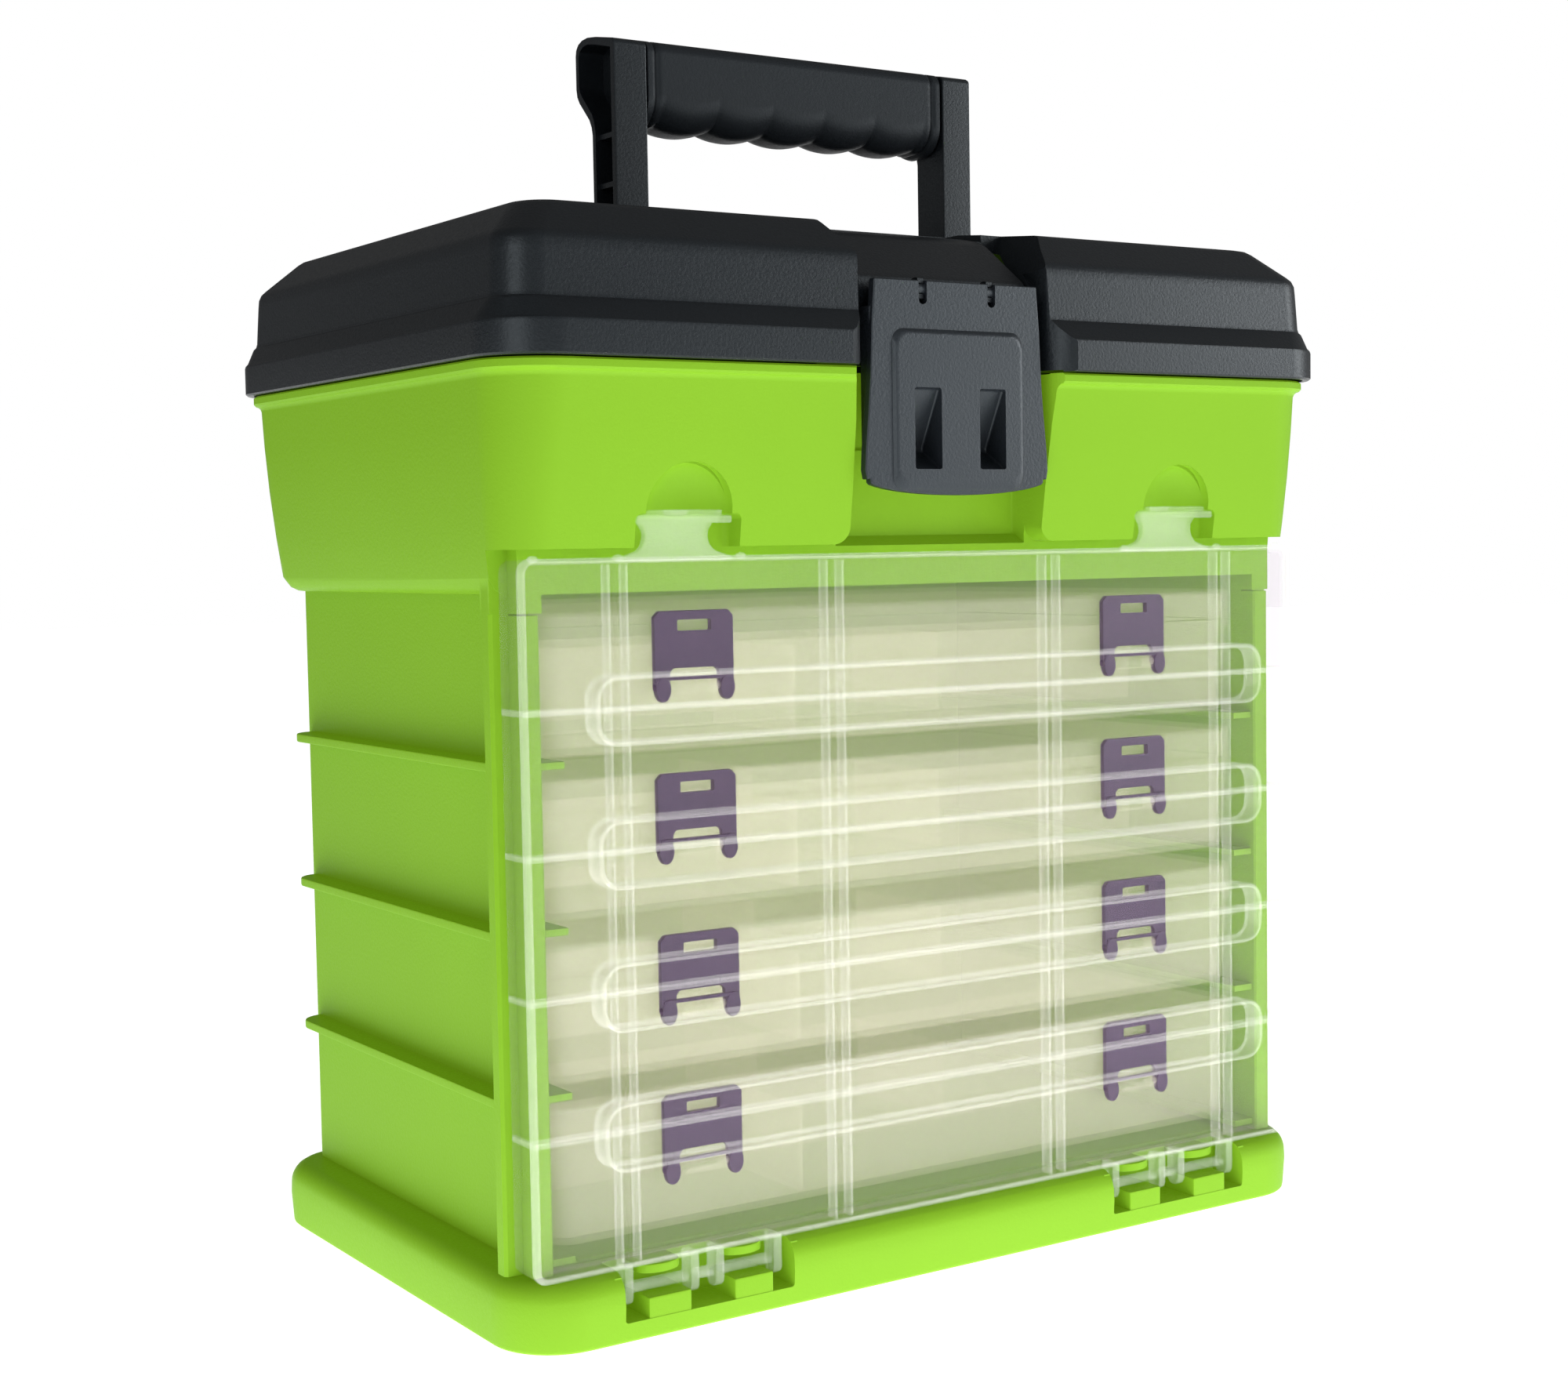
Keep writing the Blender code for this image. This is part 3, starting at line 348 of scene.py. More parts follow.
# ---------------------------------------------------------------- cabinet and bin
def build_shell():
    inner_x = WALL_X - WALL
    turn = [(WALL_X + 5.0 - 5.0 * math.cos(a), POST_REAR_Y + 5.0 - 5.0 * math.sin(a))
            for a in [math.pi / 2 * i / 6 for i in range(6, -1, -1)]]
    corner = [(WALL_X - 4.0 + 4.0 * math.cos(a), REAR_Y - 4.0 + 4.0 * math.sin(a))
              for a in [math.pi / 2 * i / 6 for i in range(7)]]
    right = [(inner_x, REAR_Y - WALL), (inner_x, POST_FRONT_Y + 0.5), (inner_x + 0.5, POST_FRONT_Y),
             (POST_NOSE_X - 0.6, POST_FRONT_Y), (POST_NOSE_X, POST_FRONT_Y + 0.6),
             (POST_NOSE_X, POST_STEP_Y), (POST_X - 0.8, POST_STEP_Y), (POST_X, POST_STEP_Y + 0.8),
             (POST_X, POST_REAR_Y - 0.8), (POST_X - 0.8, POST_REAR_Y)] + turn + corner
    outline = right + [(-x, y) for x, y in reversed(right)]
    shell = solid(prism(outline, "Z", BASE_Z + GAP, BIN_Z + 1.0), "green_cabinet")
    for level in range(ORGANIZERS):
        shelf = ORG_Z + level * PITCH - GAP
        for x0, x1 in both_sides(inner_x - 7.0, inner_x + 0.6):
            join(shell, soften(box((x0, x1), (POST_FRONT_Y + 1.5, REAR_Y - 1.0), (shelf - 1.9, shelf)), 0.3))
    for top in RIB_TOP_Z:
        for side in (1, -1):
            end = [(RIB_X - RIB_TURN + RIB_TURN * math.cos(a), RIB_REAR_Y - RIB_TURN + RIB_TURN * math.sin(a))
                   for a in [math.pi / 2 * i / 8 for i in range(9)]]
            rib = [(WALL_X - 0.7, POST_REAR_Y - 1.0), (RIB_X, POST_REAR_Y - 1.0)] + end
            rib += [(WALL_X - 0.7, RIB_REAR_Y)]
            join(shell, soften(prism([(side * x, y) for x, y in rib], "Z", top - RIB_THICK, top), 0.4))
    return shell


def bin_rings():
    """The bin's outside, rim flange and inside, from the bottom edge up and over."""
    def ring(z, grow=0.0, flare=None):
        t = (z - BIN_Z) / (BIN_FLANGE_Z - BIN_Z) if flare is None else flare
        swell = 3.8 * t * (1 - t)
        return plan(128.7 + 3.3 * t + swell + grow, -77.4 - 8.0 * t - grow, 73.6 + 11.8 * t + grow,
                    10.5 + 6.5 * t, z)

    outside = [plan(124.0, -72.0, 69.5, 10.0, BIN_Z), ring(BIN_Z + 0.3, -2.7, 0.0), ring(BIN_Z + 1.3, -1.1, 0.0),
               ring(BIN_Z + 2.6, -0.35, 0.0), ring(BIN_Z + 4.2), ring(200.0), ring(213.0), ring(226.0),
               ring(236.2)]
    flange = [ring(237.1, 0.25, 1.0), ring(237.6, 0.7, 1.0), ring(BIN_FLANGE_Z, 1.2, 1.0), ring(238.4, 1.6, 1.0),
              ring(240.1, 1.6, 1.0), ring(BIN_TOP_Z, 1.1, 1.0)]
    inside = [plan(129.8, -83.3, 83.3, 15.0, BIN_TOP_Z), plan(125.4, -76.0, 69.0, 13.0, BIN_Z + 6.0),
              plan(120.0, -71.0, 63.0, 10.0, BIN_Z + 2.3)]
    return outside + flange + inside


def front_ledge(low, high):
    """The underside of the bin's front, rounded at its two corners."""
    arc = [math.radians(-12.0 - 78.0 * i / 8) for i in range(9)]
    edge = [(116.0 + 13.2 * math.cos(a), -65.2 + 13.2 * math.sin(a)) for a in arc]
    return prism(edge + [(-x, y) for x, y in reversed(edge)], "Z", low, high)


def build_bin(shell):
    """The bin, in one moulding with the cabinet below it."""
    join(shell, loft(bin_rings()))
    cut(shell, box((-140.0, 140.0), (FAR_Y, DOOR_REAR_Y + GAP), (BIN_Z - 5.0, BIN_FRONT_Z)))
    add_post_tops(shell)
    join(shell, box((-124.0, 124.0), (HEADER_Y, HEADER_Y + 6.0), (BIN_Z, BIN_FRONT_Z + 2.2)),
         front_ledge(BIN_FRONT_Z, BIN_FRONT_Z + 2.2))
    shape_lobes(shell)
    add_lid_clips(shell)
    dress(shell, GREEN, "box", ["cabinet", "top_bin"])


def add_post_tops(shell):
    """Each front post runs up the bin's corner and fades into it."""
    for side in (1, -1):
        rings = [[(side * x, y, z) for x, y in ((117.9, y0), (117.9, y1), (x1, y1), (x1, y0))]
                 for z, x1, y0, y1 in ((180.0, POST_X, POST_STEP_Y, POST_REAR_Y),
                                       (192.0, POST_X, POST_STEP_Y, POST_REAR_Y),
                                       (200.0, POST_X + 0.45, POST_STEP_Y, POST_REAR_Y + 2.0),
                                       (232.0, 131.75, -68.0, -52.0))]
        join(shell, loft(rings))
        nose = [(side * 117.9, POST_FRONT_Y), (side * POST_NOSE_X, POST_FRONT_Y),
                (side * POST_NOSE_X, POST_STEP_Y + 0.5), (side * 117.9, POST_STEP_Y + 0.5)]
        join(shell, prism(nose, "Z", 180.0, BIN_FRONT_Z + 1.0))


def shape_lobes(shell):
    """The two front lobes with the door's pockets, and the latch's recess between them."""
    stock = [(-78.5, BIN_FRONT_Z), (-84.8, BIN_FLANGE_Z), (-84.8, BIN_TOP_Z - 0.2),
             (BIN_RECESS_Y + 2.2, BIN_TOP_Z - 0.2), (BIN_RECESS_Y + 2.2, BIN_FRONT_Z)]
    join(shell, prism(stock, "X", -RECESS_X - 4.7, RECESS_X + 4.7))
    for side in (1, -1):
        x = side * (TAB_X - 1.0)
        join(shell, box((x - 17.2, x + 17.2), (-78.6, -70.0), (BIN_FRONT_Z, 221.0)))
        cut(shell, ball((x, -80.6, 204.2), (12.4, 7.5, 12.4)))
        notch = soften(box((x - 15.2, x + 15.2), (FAR_Y, HEADER_Y - 0.2), (BIN_FRONT_Z - 6.0, 203.6)), 1.6, 3)
        cut(shell, notch)
    inside = [(RECESS_X + 6.5, FAR_Y), (RECESS_X + 4.4, -87.6), (RECESS_X + 2.9, -85.7), (RECESS_X + 1.9, -83.8),
              (RECESS_X + 1.4, -81.0), (RECESS_X + 1.0, BIN_RECESS_Y - 3.0), (RECESS_X + 0.2, BIN_RECESS_Y - 1.0),
              (RECESS_X - 1.2, BIN_RECESS_Y)]
    outline = inside + [(-x, y) for x, y in reversed(inside)]
    cut(shell, prism(outline, "Z", BIN_FRONT_Z + 0.8, BIN_TOP_Z + 5.0),
        soften(box((-RECESS_X - 1.2, RECESS_X + 1.2), (FAR_Y, HEADER_Y),
                   (BIN_FRONT_Z - 2.0, BIN_FRONT_Z + 2.0)), 0.5))
    # The header's top edge slopes back to the recess wall, and each lobe is rounded at its lower corner.
    slope = [(FAR_Y, BIN_FRONT_Z - 0.4), (HEADER_Y, BIN_FRONT_Z - 0.4), (BIN_RECESS_Y, BIN_FRONT_Z + 2.6),
             (FAR_Y, BIN_FRONT_Z + 2.6)]
    join(shell, box((-RECESS_X - 2.0, RECESS_X + 2.0), (HEADER_Y, BIN_RECESS_Y + 1.0),
                    (BIN_FRONT_Z, BIN_FRONT_Z + 2.6)))
    cut(shell, prism(slope, "X", -RECESS_X - 1.0, RECESS_X + 1.0))
    for side in (1, -1):
        turn = [(side * (RECESS_X + 6.0 - 4.8 * math.sin(a)), BIN_FRONT_Z + 4.8 - 4.8 * math.cos(a))
                for a in [math.pi / 2 * i / 8 for i in range(9)]]
        corner = turn + [(side * (RECESS_X - 1.0), BIN_FRONT_Z + 4.8), (side * (RECESS_X - 1.0), BIN_FRONT_Z - 2.0),
                         (side * (RECESS_X + 6.0), BIN_FRONT_Z - 2.0)]
        cut(shell, prism(corner, "Y", FAR_Y, HEADER_Y))
    join(shell, soften(box((-17.0, 17.0), (-75.0, BIN_RECESS_Y + 0.8), (226.0, 229.0)), 0.5),
         box((-33.0, 33.0), (BIN_RECESS_Y - 0.7, BIN_RECESS_Y + 0.8), (BIN_FRONT_Z, 220.0)))


def add_lid_clips(shell):
    """The two clips at the back that hold the rods of the lid."""
    for side in (1, -1):
        x = side * LID_HINGE_X
        join(shell, box((x - 18.0, x + 18.0), (80.6, 84.0), (229.0, BIN_TOP_Z - 0.2)),
             soften(box((x - 9.0, x + 9.0), (80.0, LID_AXIS_Y + 2.7), (LID_AXIS_Z - 4.2, LID_AXIS_Z + 2.8)), 0.6))
        for ear in (EAR_X, -EAR_X):
            cut(shell, box((x + ear - 3.2, x + ear + 3.2), (83.0, 95.0), (LID_AXIS_Z - 3.8, 245.0)))
        cut(shell, rod((x - 12.0, x + 12.0), LID_AXIS_Y, LID_AXIS_Z, ROD_R + GAP),
            box((x - 12.0, x + 12.0), (LID_AXIS_Y, 95.0), (LID_AXIS_Z - 1.3, LID_AXIS_Z + 1.3)))


# ---------------------------------------------------------------- lid
def lid_rings():
    """The lid's outside from the top's middle to the rim, and its inside back up."""
    def ring(inset, radius, z):
        return plan(LID_X - inset, -LID_Y + inset, LID_Y - inset, radius, z)

    def crown(inset, radius, z):
        return plan(LID_X + 1.2 - inset, -LID_Y + inset, LID_Y - inset, radius - 1.5, z)

    outside = [crown(44.0, 8.0, 281.9), crown(30.0, 8.6, 280.4), crown(17.6, 9.6, 279.1), crown(16.2, 9.8, 278.75),
               crown(15.0, 10.0, 277.9), crown(7.6, 11.0, 270.9), crown(6.6, 11.2, 269.8), crown(6.0, 11.4, 268.3),
               crown(5.8, 11.5, 266.0), crown(5.25, 11.6, 255.9), crown(5.0, 11.7, 254.9), crown(4.3, 12.3, 254.2),
               ring(0.8, 16.5, 250.1), ring(0.2, 16.9, 249.4), ring(0.0, 17.0, 248.7), ring(0.0, 17.0, 241.4),
               ring(0.5, 16.8, LID_Z)]
    inside = [ring(2.2, 15.0, LID_Z), ring(2.3, 15.0, 248.6), crown(7.3, 10.0, 253.4), crown(8.1, 10.0, 267.4),
              crown(17.4, 8.0, 275.9), crown(45.0, 7.0, 279.3)]
    return outside + inside


def lid_opening():
    """The shape that the latch's recess cuts from the lid: flared to the front, with sloping shoulders."""
    recess = [(FAR_Y, 230.0), (RECESS_Y, 230.0), (RECESS_Y, 263.0), (RECESS_Y + 0.5, 264.6),
              (RECESS_Y + 1.8, 265.8), (-62.0, 276.6), (-58.0, 278.4), (-50.0, 280.1), (-40.0, 281.2),
              (-40.0, 300.0), (FAR_Y, 300.0)]
    flare = [(RECESS_X + 14.0, FAR_Y), (RECESS_X + 7.5, -90.0), (RECESS_X + 4.6, -88.6), (RECESS_X + 2.2, -86.4),
             (RECESS_X + 0.6, -83.4), (RECESS_X, -80.0), (RECESS_X, -40.0)]
    opening = solid(prism(recess, "X", -60.0, 60.0), "recess")
    combine(opening, "INTERSECT", [prism(flare + [(-x, y) for x, y in reversed(flare)], "Z", 225.0, 305.0)])
    settle(opening)
    for side in (1, -1):
        slope = [(side * (RECESS_X - 3.0), 300.0), (side * (RECESS_X - 3.0), 262.0),
                 (side * (RECESS_X + 3.2), 274.6), (side * (RECESS_X + 9.0), 283.6), (side * (RECESS_X + 9.0), 300.0)]
        join(opening, prism(slope, "Y", FAR_Y, -56.0))
    return settle(opening)


def build_lid():
    lid = solid(loft(lid_rings()), "lid_shell")
    # Solid stock behind the recess and inside the ends of the two lobes.
    backing = [(-88.4, 241.3), (-88.4, 248.5), (-83.6, 254.6), (-82.9, 266.4), (-81.0, 269.8), (-74.2, 276.4),
               (-71.5, 277.6), (-50.0, 280.4), (-50.0, 277.2), (-60.0, 275.0), (RECESS_Y + 2.3, 262.0),
               (RECESS_Y + 2.3, 241.3)]
    join(lid, prism(backing, "X", -RECESS_X - 12.0, RECESS_X + 12.0))
    opening = lid_opening()
    modifier = lid.modifiers.new("Recess", "BOOLEAN")
    modifier.operation, modifier.solver, modifier.object = "DIFFERENCE", "EXACT", opening
    for side in (1, -1):
        # One of the two hooks that the latch's rod turns in. It opens to the front.
        x, y, z = side * LATCH_SLOT_X, LATCH_AXIS_Y, LATCH_AXIS_Z
        join(lid, rod((x - 0.95, x + 0.95), y, z, EAR_R),
             box((x - 0.95, x + 0.95), (y + 1.5, RECESS_Y + 1.0), (z - 2.4, z + 2.0)))
        cut(lid, rod((x - 2.0, x + 2.0), y, z, LATCH_ROD_R + GAP),
            box((x - 2.0, x + 2.0), (-90.0, y - 1.2), (z - 4.0, z + 4.0)))
        # Two ears below the back rim with a rod between them, on the lid's hinge axis.
        x, y, z = side * LID_HINGE_X, LID_AXIS_Y, LID_AXIS_Z
        for ear in (EAR_X, -EAR_X):
            ends = (x + ear - 1.5, x + ear + 1.5)
            join(lid, rod(ends, y, z, EAR_R), box(ends, (y - 2.7, y + 2.85), (z, LID_Z + 2.0)))
        join(lid, rod((x - 12.0, x + 12.0), y, z, ROD_R))
        x0, x1 = sorted((side * (POST_IN_X - GAP), side * (POST_OUT_X + GAP)))
        cut(lid, box((x0, x1), (HANDLE_FRONT_Y - GAP, 0.5 + GAP), (270.0, 290.0)))
    dress(lid, BLACK, "lid", ["lid"], 24.0)


# ---------------------------------------------------------------- lid latch
def build_latch():
    x, top = LATCH_X, LATCH_Z1
    wide = LATCH_FOOT_X
    bow = [(wide * math.cos(a), LATCH_Z0 + 4.4 - 4.4 * math.sin(a))
           for a in [math.pi * i / 24 for i in range(25)]]
    bow = [(max(-wide + 1.6, min(wide - 1.6, a)), b) for a, b in bow]
    right = [(wide - 0.5, LATCH_Z0 + 4.0), (wide, LATCH_Z0 + 6.5), (wide - 0.3, LATCH_Z0 + 12.0),
             (x + 0.6, LATCH_Z0 + 22.0), (x, top - 26.0), (x - 0.6, top - 12.0), (x - 1.6, top)]
    outline = [(-a, b) for a, b in reversed(right)] + list(reversed(bow)) + right
    latch = solid(soften(prism(outline, "Y", LATCH_Y, LATCH_Y + 2.5), 0.9, 3), "lid_latch_plate")
    for x0, x1 in both_sides(x - 2.4, x - 0.5):
        join(latch, soften(box((x0, x1), (LATCH_Y + 1.0, -79.2), (LATCH_Z0 + 9.0, 256.4)), 0.5))
    # The raised pad, with a soft slope round it that runs out at the bottom.
    pad = [upright(21.6, LATCH_Z0 + 0.9, 251.0, 3.6, LATCH_Y + 0.4),
           upright(21.4, LATCH_Z0 + 1.1, 250.8, 3.6, LATCH_Y - 0.1),
           upright(20.8, LATCH_Z0 + 2.0, 250.0, 3.6, LATCH_Y - 0.8),
           upright(19.9, LATCH_Z0 + 4.0, 249.2, 3.6, LATCH_Y - 1.0)]
    join(latch, loft(pad))
    # Two finger pockets, deepest near their foot.
    for x0, x1 in both_sides(5.1, 16.2):
        pocket = [(LATCH_Y + 0.5, 213.2), (LATCH_Y + 1.6, 213.2), (-75.4, 218.6), (-75.4, 220.8),
                  (LATCH_Y + 2.2, 236.8), (LATCH_Y + 0.5, 236.8)]
        join(latch, prism(pocket, "X", x0, x1))
    for x0, x1 in both_sides(6.3, 15.0):
        mouth = [(FAR_Y, 214.4), (LATCH_Y, 214.6), (-77.2, 219.2), (-76.8, 219.8), (-77.0, 220.8),
                 (LATCH_Y + 0.4, 235.4), (LATCH_Y - 3.0, 236.2), (FAR_Y, 236.2)]
        cut(latch, soften(prism(mouth, "X", x0, x1), 0.6, 3))
    for x0, x1 in both_sides(LATCH_SLOT_X - 1.3, LATCH_SLOT_X + 1.3):
        slot = rounded(x0, x1, 257.2, 275.0, 1.25, 5)
        cut(latch, prism(slot, "Y", FAR_Y, -81.0))
    join(latch, rod((-x + 3.0, x - 3.0), LATCH_AXIS_Y, LATCH_AXIS_Z, LATCH_ROD_R))
    # The lip that snaps under the bin's catch.
    join(latch, box((-5.5, 5.5), (LATCH_Y + 1.0, -75.8), (219.6, 222.4)))
    dress(latch, LATCH, "lid_latch", ["lid_latch"])


# ---------------------------------------------------------------- handle
def build_handle():
    """Two channel-shaped posts and the core bar that runs through the grip."""
    front, top = HANDLE_FRONT_Y, HANDLE_TOP_Z
    side = [(front, HANDLE_FOOT_Z), (0.5, HANDLE_FOOT_Z), (0.5, 309.4), (1.0, 311.6), (2.2, 313.8), (7.6, 319.2),
            (8.8, 321.0), (9.3, 323.2), (9.3, 332.4), (8.9, 334.2), (7.6, 335.5), (5.4, 336.3), (2.5, top),
            (-2.0, top - 0.6), (front + 1.4, 334.0), (front + 0.5, 333.5), (front, 332.8)]
    hollow = [(front + 2.0, 284.6), (-1.5, 284.6), (-1.5, 310.2), (-0.8, 313.0), (0.4, 315.2), (5.6, 320.6),
              (6.9, 322.4), (7.3, 324.0), (7.3, 331.6), (6.6, 333.3), (4.6, 334.3), (2.0, top - 2.0),
              (-2.0, top - 2.7), (front + 2.0, 331.6)]
    posts = solid(box((-POST_IN_X - 1.0, POST_IN_X + 1.0), CORE_Y, CORE_Z), "handle_posts")
    for x0, x1 in both_sides(POST_IN_X, POST_OUT_X):
        join(posts, soften(prism(side, "X", x0, x1), 0.45))
    for x0, x1 in both_sides(POST_IN_X + 2.4, POST_OUT_X + 1.0):
        cut(posts, prism(hollow, "X", x0, x1))
    for x0, x1 in both_sides(POST_IN_X + 1.0, POST_OUT_X - 1.2):
        for z in WEB_Z:
            join(posts, box((x0, x1), (front + 1.0, -0.5), (z, z + WEB_THICK)))
    dress(posts, BLACK, "lid", ["handle_frame"])


def grip_section(x, shrink=0.0):
    """The grip's outline in Y and Z; the underside swells under each finger."""
    low = GRIP_CUSP_Z - GRIP_SWELL * abs(math.cos(math.pi * x / GRIP_PITCH)) ** 0.75 + shrink
    y0, y1, top = GRIP_Y[0] + shrink, GRIP_Y[1] - shrink, GRIP_TOP_Z - shrink
    corners = rounded(y0, y1, low, top, 2.6, 5)[:12]
    upper = corners[:6] + [(4.8, top), (2.0, top), (-1.0, top), (-4.5, top), (-7.5, top)] + corners[6:]
    lower = rounded(y0, y1, low, top, 8.5, 10)[22:]
    crowned = [(y, z - GRIP_CROWN * ((y - 2.0) / 14.3) ** 2) for y, z in upper]
    return [(x, y, z) for y, z in crowned + lower]


def build_grip():
    """The sleeve, with a fine groove round it near each end."""
    rings = [grip_section(-GRIP_X, 0.6)]
    for i in range(GRIP_STEPS + 1):
        x = -GRIP_X + 0.4 + 2 * (GRIP_X - 0.4) * i / GRIP_STEPS
        groove = max(0.0, 1.0 - abs(abs(x) - (GRIP_X - 3.1)) / 0.75)
        rings.append(grip_section(x, 0.75 * min(1.0, groove * 1.4)))
    rings.append(grip_section(GRIP_X, 0.6))
    grip = solid(loft(rings), "grip_sleeve")
    cut(grip, box((-60.0, 60.0), (CORE_Y[0] - GAP, CORE_Y[1] + GAP), (CORE_Z[0] - GAP, CORE_Z[1] + GAP)))
    dress(grip, GRIP, "lid", ["handle_grip"], 40.0)


# ---------------------------------------------------------------- door
def build_door():
    """The door's panel and sides, and then everything that stands on it."""
    w = DOOR_WALL
    rings = [upright(DOOR_X - 1.2, DOOR_Z0 + 1.2, DOOR_Z1 - 1.2, 2.2, DOOR_FRONT_Y),
             upright(DOOR_X - 0.4, DOOR_Z0 + 0.4, DOOR_Z1 - 0.4, 2.9, DOOR_FRONT_Y + 0.35),
             upright(DOOR_X, DOOR_Z0, DOOR_Z1, 3.2, DOOR_FRONT_Y + 1.2),
             upright(DOOR_X, DOOR_Z0, DOOR_Z1, 3.2, DOOR_REAR_Y),
             upright(DOOR_X - w, DOOR_Z0 + w, DOOR_Z1 - w, 1.4, DOOR_REAR_Y),
             upright(DOOR_X - w, DOOR_Z0 + w, DOOR_Z1 - w, 1.4, DOOR_FRONT_Y + w)]
    door = solid(loft(rings), "door_panel")
    inner = DOOR_X - w - 0.2
    cut(door, box((-inner, inner), (DOOR_FLOOR_REAR_Y, -50.0), (5.0, DOOR_Z0 + w + 0.4)),
        box((-inner, inner), (DOOR_ROOF_REAR_Y, -50.0), (DOOR_Z1 - w - 0.4, 210.0)))
    dress(door, FROSTED, "door", ["door"])
    build_door_ribs()
    build_door_frames()
    build_door_fittings()


def door_piece(obj):
    dress(obj, MILKY, "door", [])


def build_door_ribs():
    """The rim round the panel, and the ribs across it and up it."""
    w, front = 0.9, DOOR_FRONT_Y
    rim = solid(loft([upright(DOOR_X - 0.5, DOOR_Z0 + 0.5, DOOR_Z1 - 0.5, 2.9, front + 0.1),
                      upright(DOOR_X + 0.15, DOOR_Z0 - 0.15, DOOR_Z1 + 0.15, 3.3, front + 0.8),
                      upright(DOOR_X + 0.15, DOOR_Z0 - 0.15, DOOR_Z1 + 0.15, 3.3, front + 2.0),
                      upright(DOOR_X - w, DOOR_Z0 + w, DOOR_Z1 - w, 2.4, front + 2.0),
                      upright(DOOR_X - w - 0.4, DOOR_Z0 + w + 0.4, DOOR_Z1 - w - 0.4, 2.2, front + 0.1)],
                     closed=True), "door_rim")
    door_piece(rim)
    tall = ((front + 0.3, front + 3.8), (DOOR_Z0 + 1.5, DOOR_Z1 - 1.5))
    uprights = solid(box((UPRIGHT_X[0] - 2.9, UPRIGHT_X[0] - 2.1), *tall), "door_uprights")
    for x in UPRIGHT_X:
        for offset in (-2.9, 2.1):
            for x0, x1 in both_sides(x + offset, x + offset + 0.8):
                join(uprights, soften(box((x0, x1), *tall), 0.2))
    door_piece(uprights)
    ribs = solid(box((-DOOR_X + 1.0, DOOR_X - 1.0), (front - 0.2, front + 0.4),
                     (CROSS_RIB_Z[0] - 0.3, CROSS_RIB_Z[0] + 0.3)), "door_cross_ribs")
    for z in CROSS_RIB_Z:
        join(ribs, soften(box((-DOOR_X - 0.3, DOOR_X + 0.3), (front - 0.45, front + 3.2), (z - 0.8, z + 0.8)), 0.3))
        for x0, x1 in both_sides(DOOR_X - 0.9, DOOR_X + 0.3):
            join(ribs, soften(box((x0, x1), (front - 0.45, DOOR_REAR_Y - 0.3), (z - 0.8, z + 0.8)), 0.3))
    door_piece(ribs)


def build_door_frames():
    """The four raised frames across the door, each a thin wall on its edge."""
    half, wall = FRAME_H / 2, 1.3
    for number, z in enumerate(CROSS_RIB_Z, 1):
        outer = (FRAME_X, z - half, z + half, 6.0)
        hole = (FRAME_X - wall, z - half + wall, z + half - wall, 4.7)
        frame_piece = solid(loft([upright(*outer, DOOR_FRONT_Y + 0.7), upright(*outer, FRAME_Y + 0.4),
                                  upright(outer[0] - 0.4, outer[1] + 0.4, outer[2] - 0.4, 5.6, FRAME_Y),
                                  upright(hole[0] + 0.3, hole[1] - 0.3, hole[2] + 0.3, 5.0, FRAME_Y),
                                  upright(*hole, FRAME_Y + 0.3), upright(*hole, DOOR_FRONT_Y + 0.7)], closed=True),
                            f"door_frame_{number}")
        door_piece(frame_piece)


def build_door_fittings():
    """The two snap tabs at the top, the small nubs beside them, and the hinge fins."""
    tabs = None
    for side in (1, -1):
        x = side * TAB_X
        edge = [(TAB_W + 2.6, DOOR_Z1 - 1.0), (TAB_W + 2.2, DOOR_Z1), (10.9, 194.6), (9.6, 196.0), (9.0, 197.8),
                (9.2, 199.6), (10.4, 201.2), (11.8, 202.4)]
        outline = [(x + a, z) for a, z in edge] + [(x - a, z) for a, z in reversed(edge)]
        stem = soften(prism(outline, "Y", -75.6, -73.4), 0.3)
        if tabs is None:
            tabs = solid(stem, "door_tabs")
        else:
            join(tabs, stem)
        lip = [(x - TAB_W, -73.4)] + [(x + TAB_W * t, -79.6 - 3.3 * (1 - t * t)) for t in
                                      [-1 + i / 8 for i in range(17)]] + [(x + TAB_W, -73.4)]
        join(tabs, soften(prism(lip, "Z", 201.3, 203.2), 0.4))
        step = [(x + (a - x) * 0.82, b + 0.7 if b < -76 else b) for a, b in lip]
        join(tabs, soften(prism(step, "Z", 202.6, 204.6), 0.4))
        for nub in (x + TAB_W + 4.0, x - TAB_W - 4.0, side * 122.5):
            join(tabs, ball((nub, -77.0, DOOR_Z1), (1.5, 1.0, 0.9)))
    door_piece(tabs)
    y, z = DOOR_AXIS_Y, DOOR_AXIS_Z
    arc = [(y + 2.4 * math.cos(a), 10.6 + 2.5 * math.sin(a))
           for a in [math.pi + math.pi * i / 10 for i in range(11)]]
    fin = [(DOOR_FRONT_Y, DOOR_Z0 + 1.0)] + arc + [(y + 2.4, DOOR_Z0 + 1.0)]
    fins = solid(rod((FIN_X[0], FIN_X[-1]), y, z, ROD_R), "door_hinge_fins")
    join(fins, rod((-FIN_X[-1], -FIN_X[0]), y, z, ROD_R))
    for centre in FIN_X:
        for x0, x1 in both_sides(centre - FIN_W / 2, centre + FIN_W / 2):
            join(fins, soften(prism(fin, "X", x0, x1), 0.35))
    door_piece(fins)


# ---------------------------------------------------------------- organizers
def build_organizer(number):
    z, name = ORG_Z + (number - 1) * PITCH, f"organizer_{number}"
    build_tray(name, z)
    build_tray_lid(name, z)
    for label, side in (("left", -1), ("right", 1)):
        build_drawer_latch(name, label, side * DRAWER_LATCH_X, z)
    for row in (1, 2, 3):
        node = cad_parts[f"{name}_divider_{row}"]
        node.data.materials.clear()
        node.data.materials.append(CLEAR)


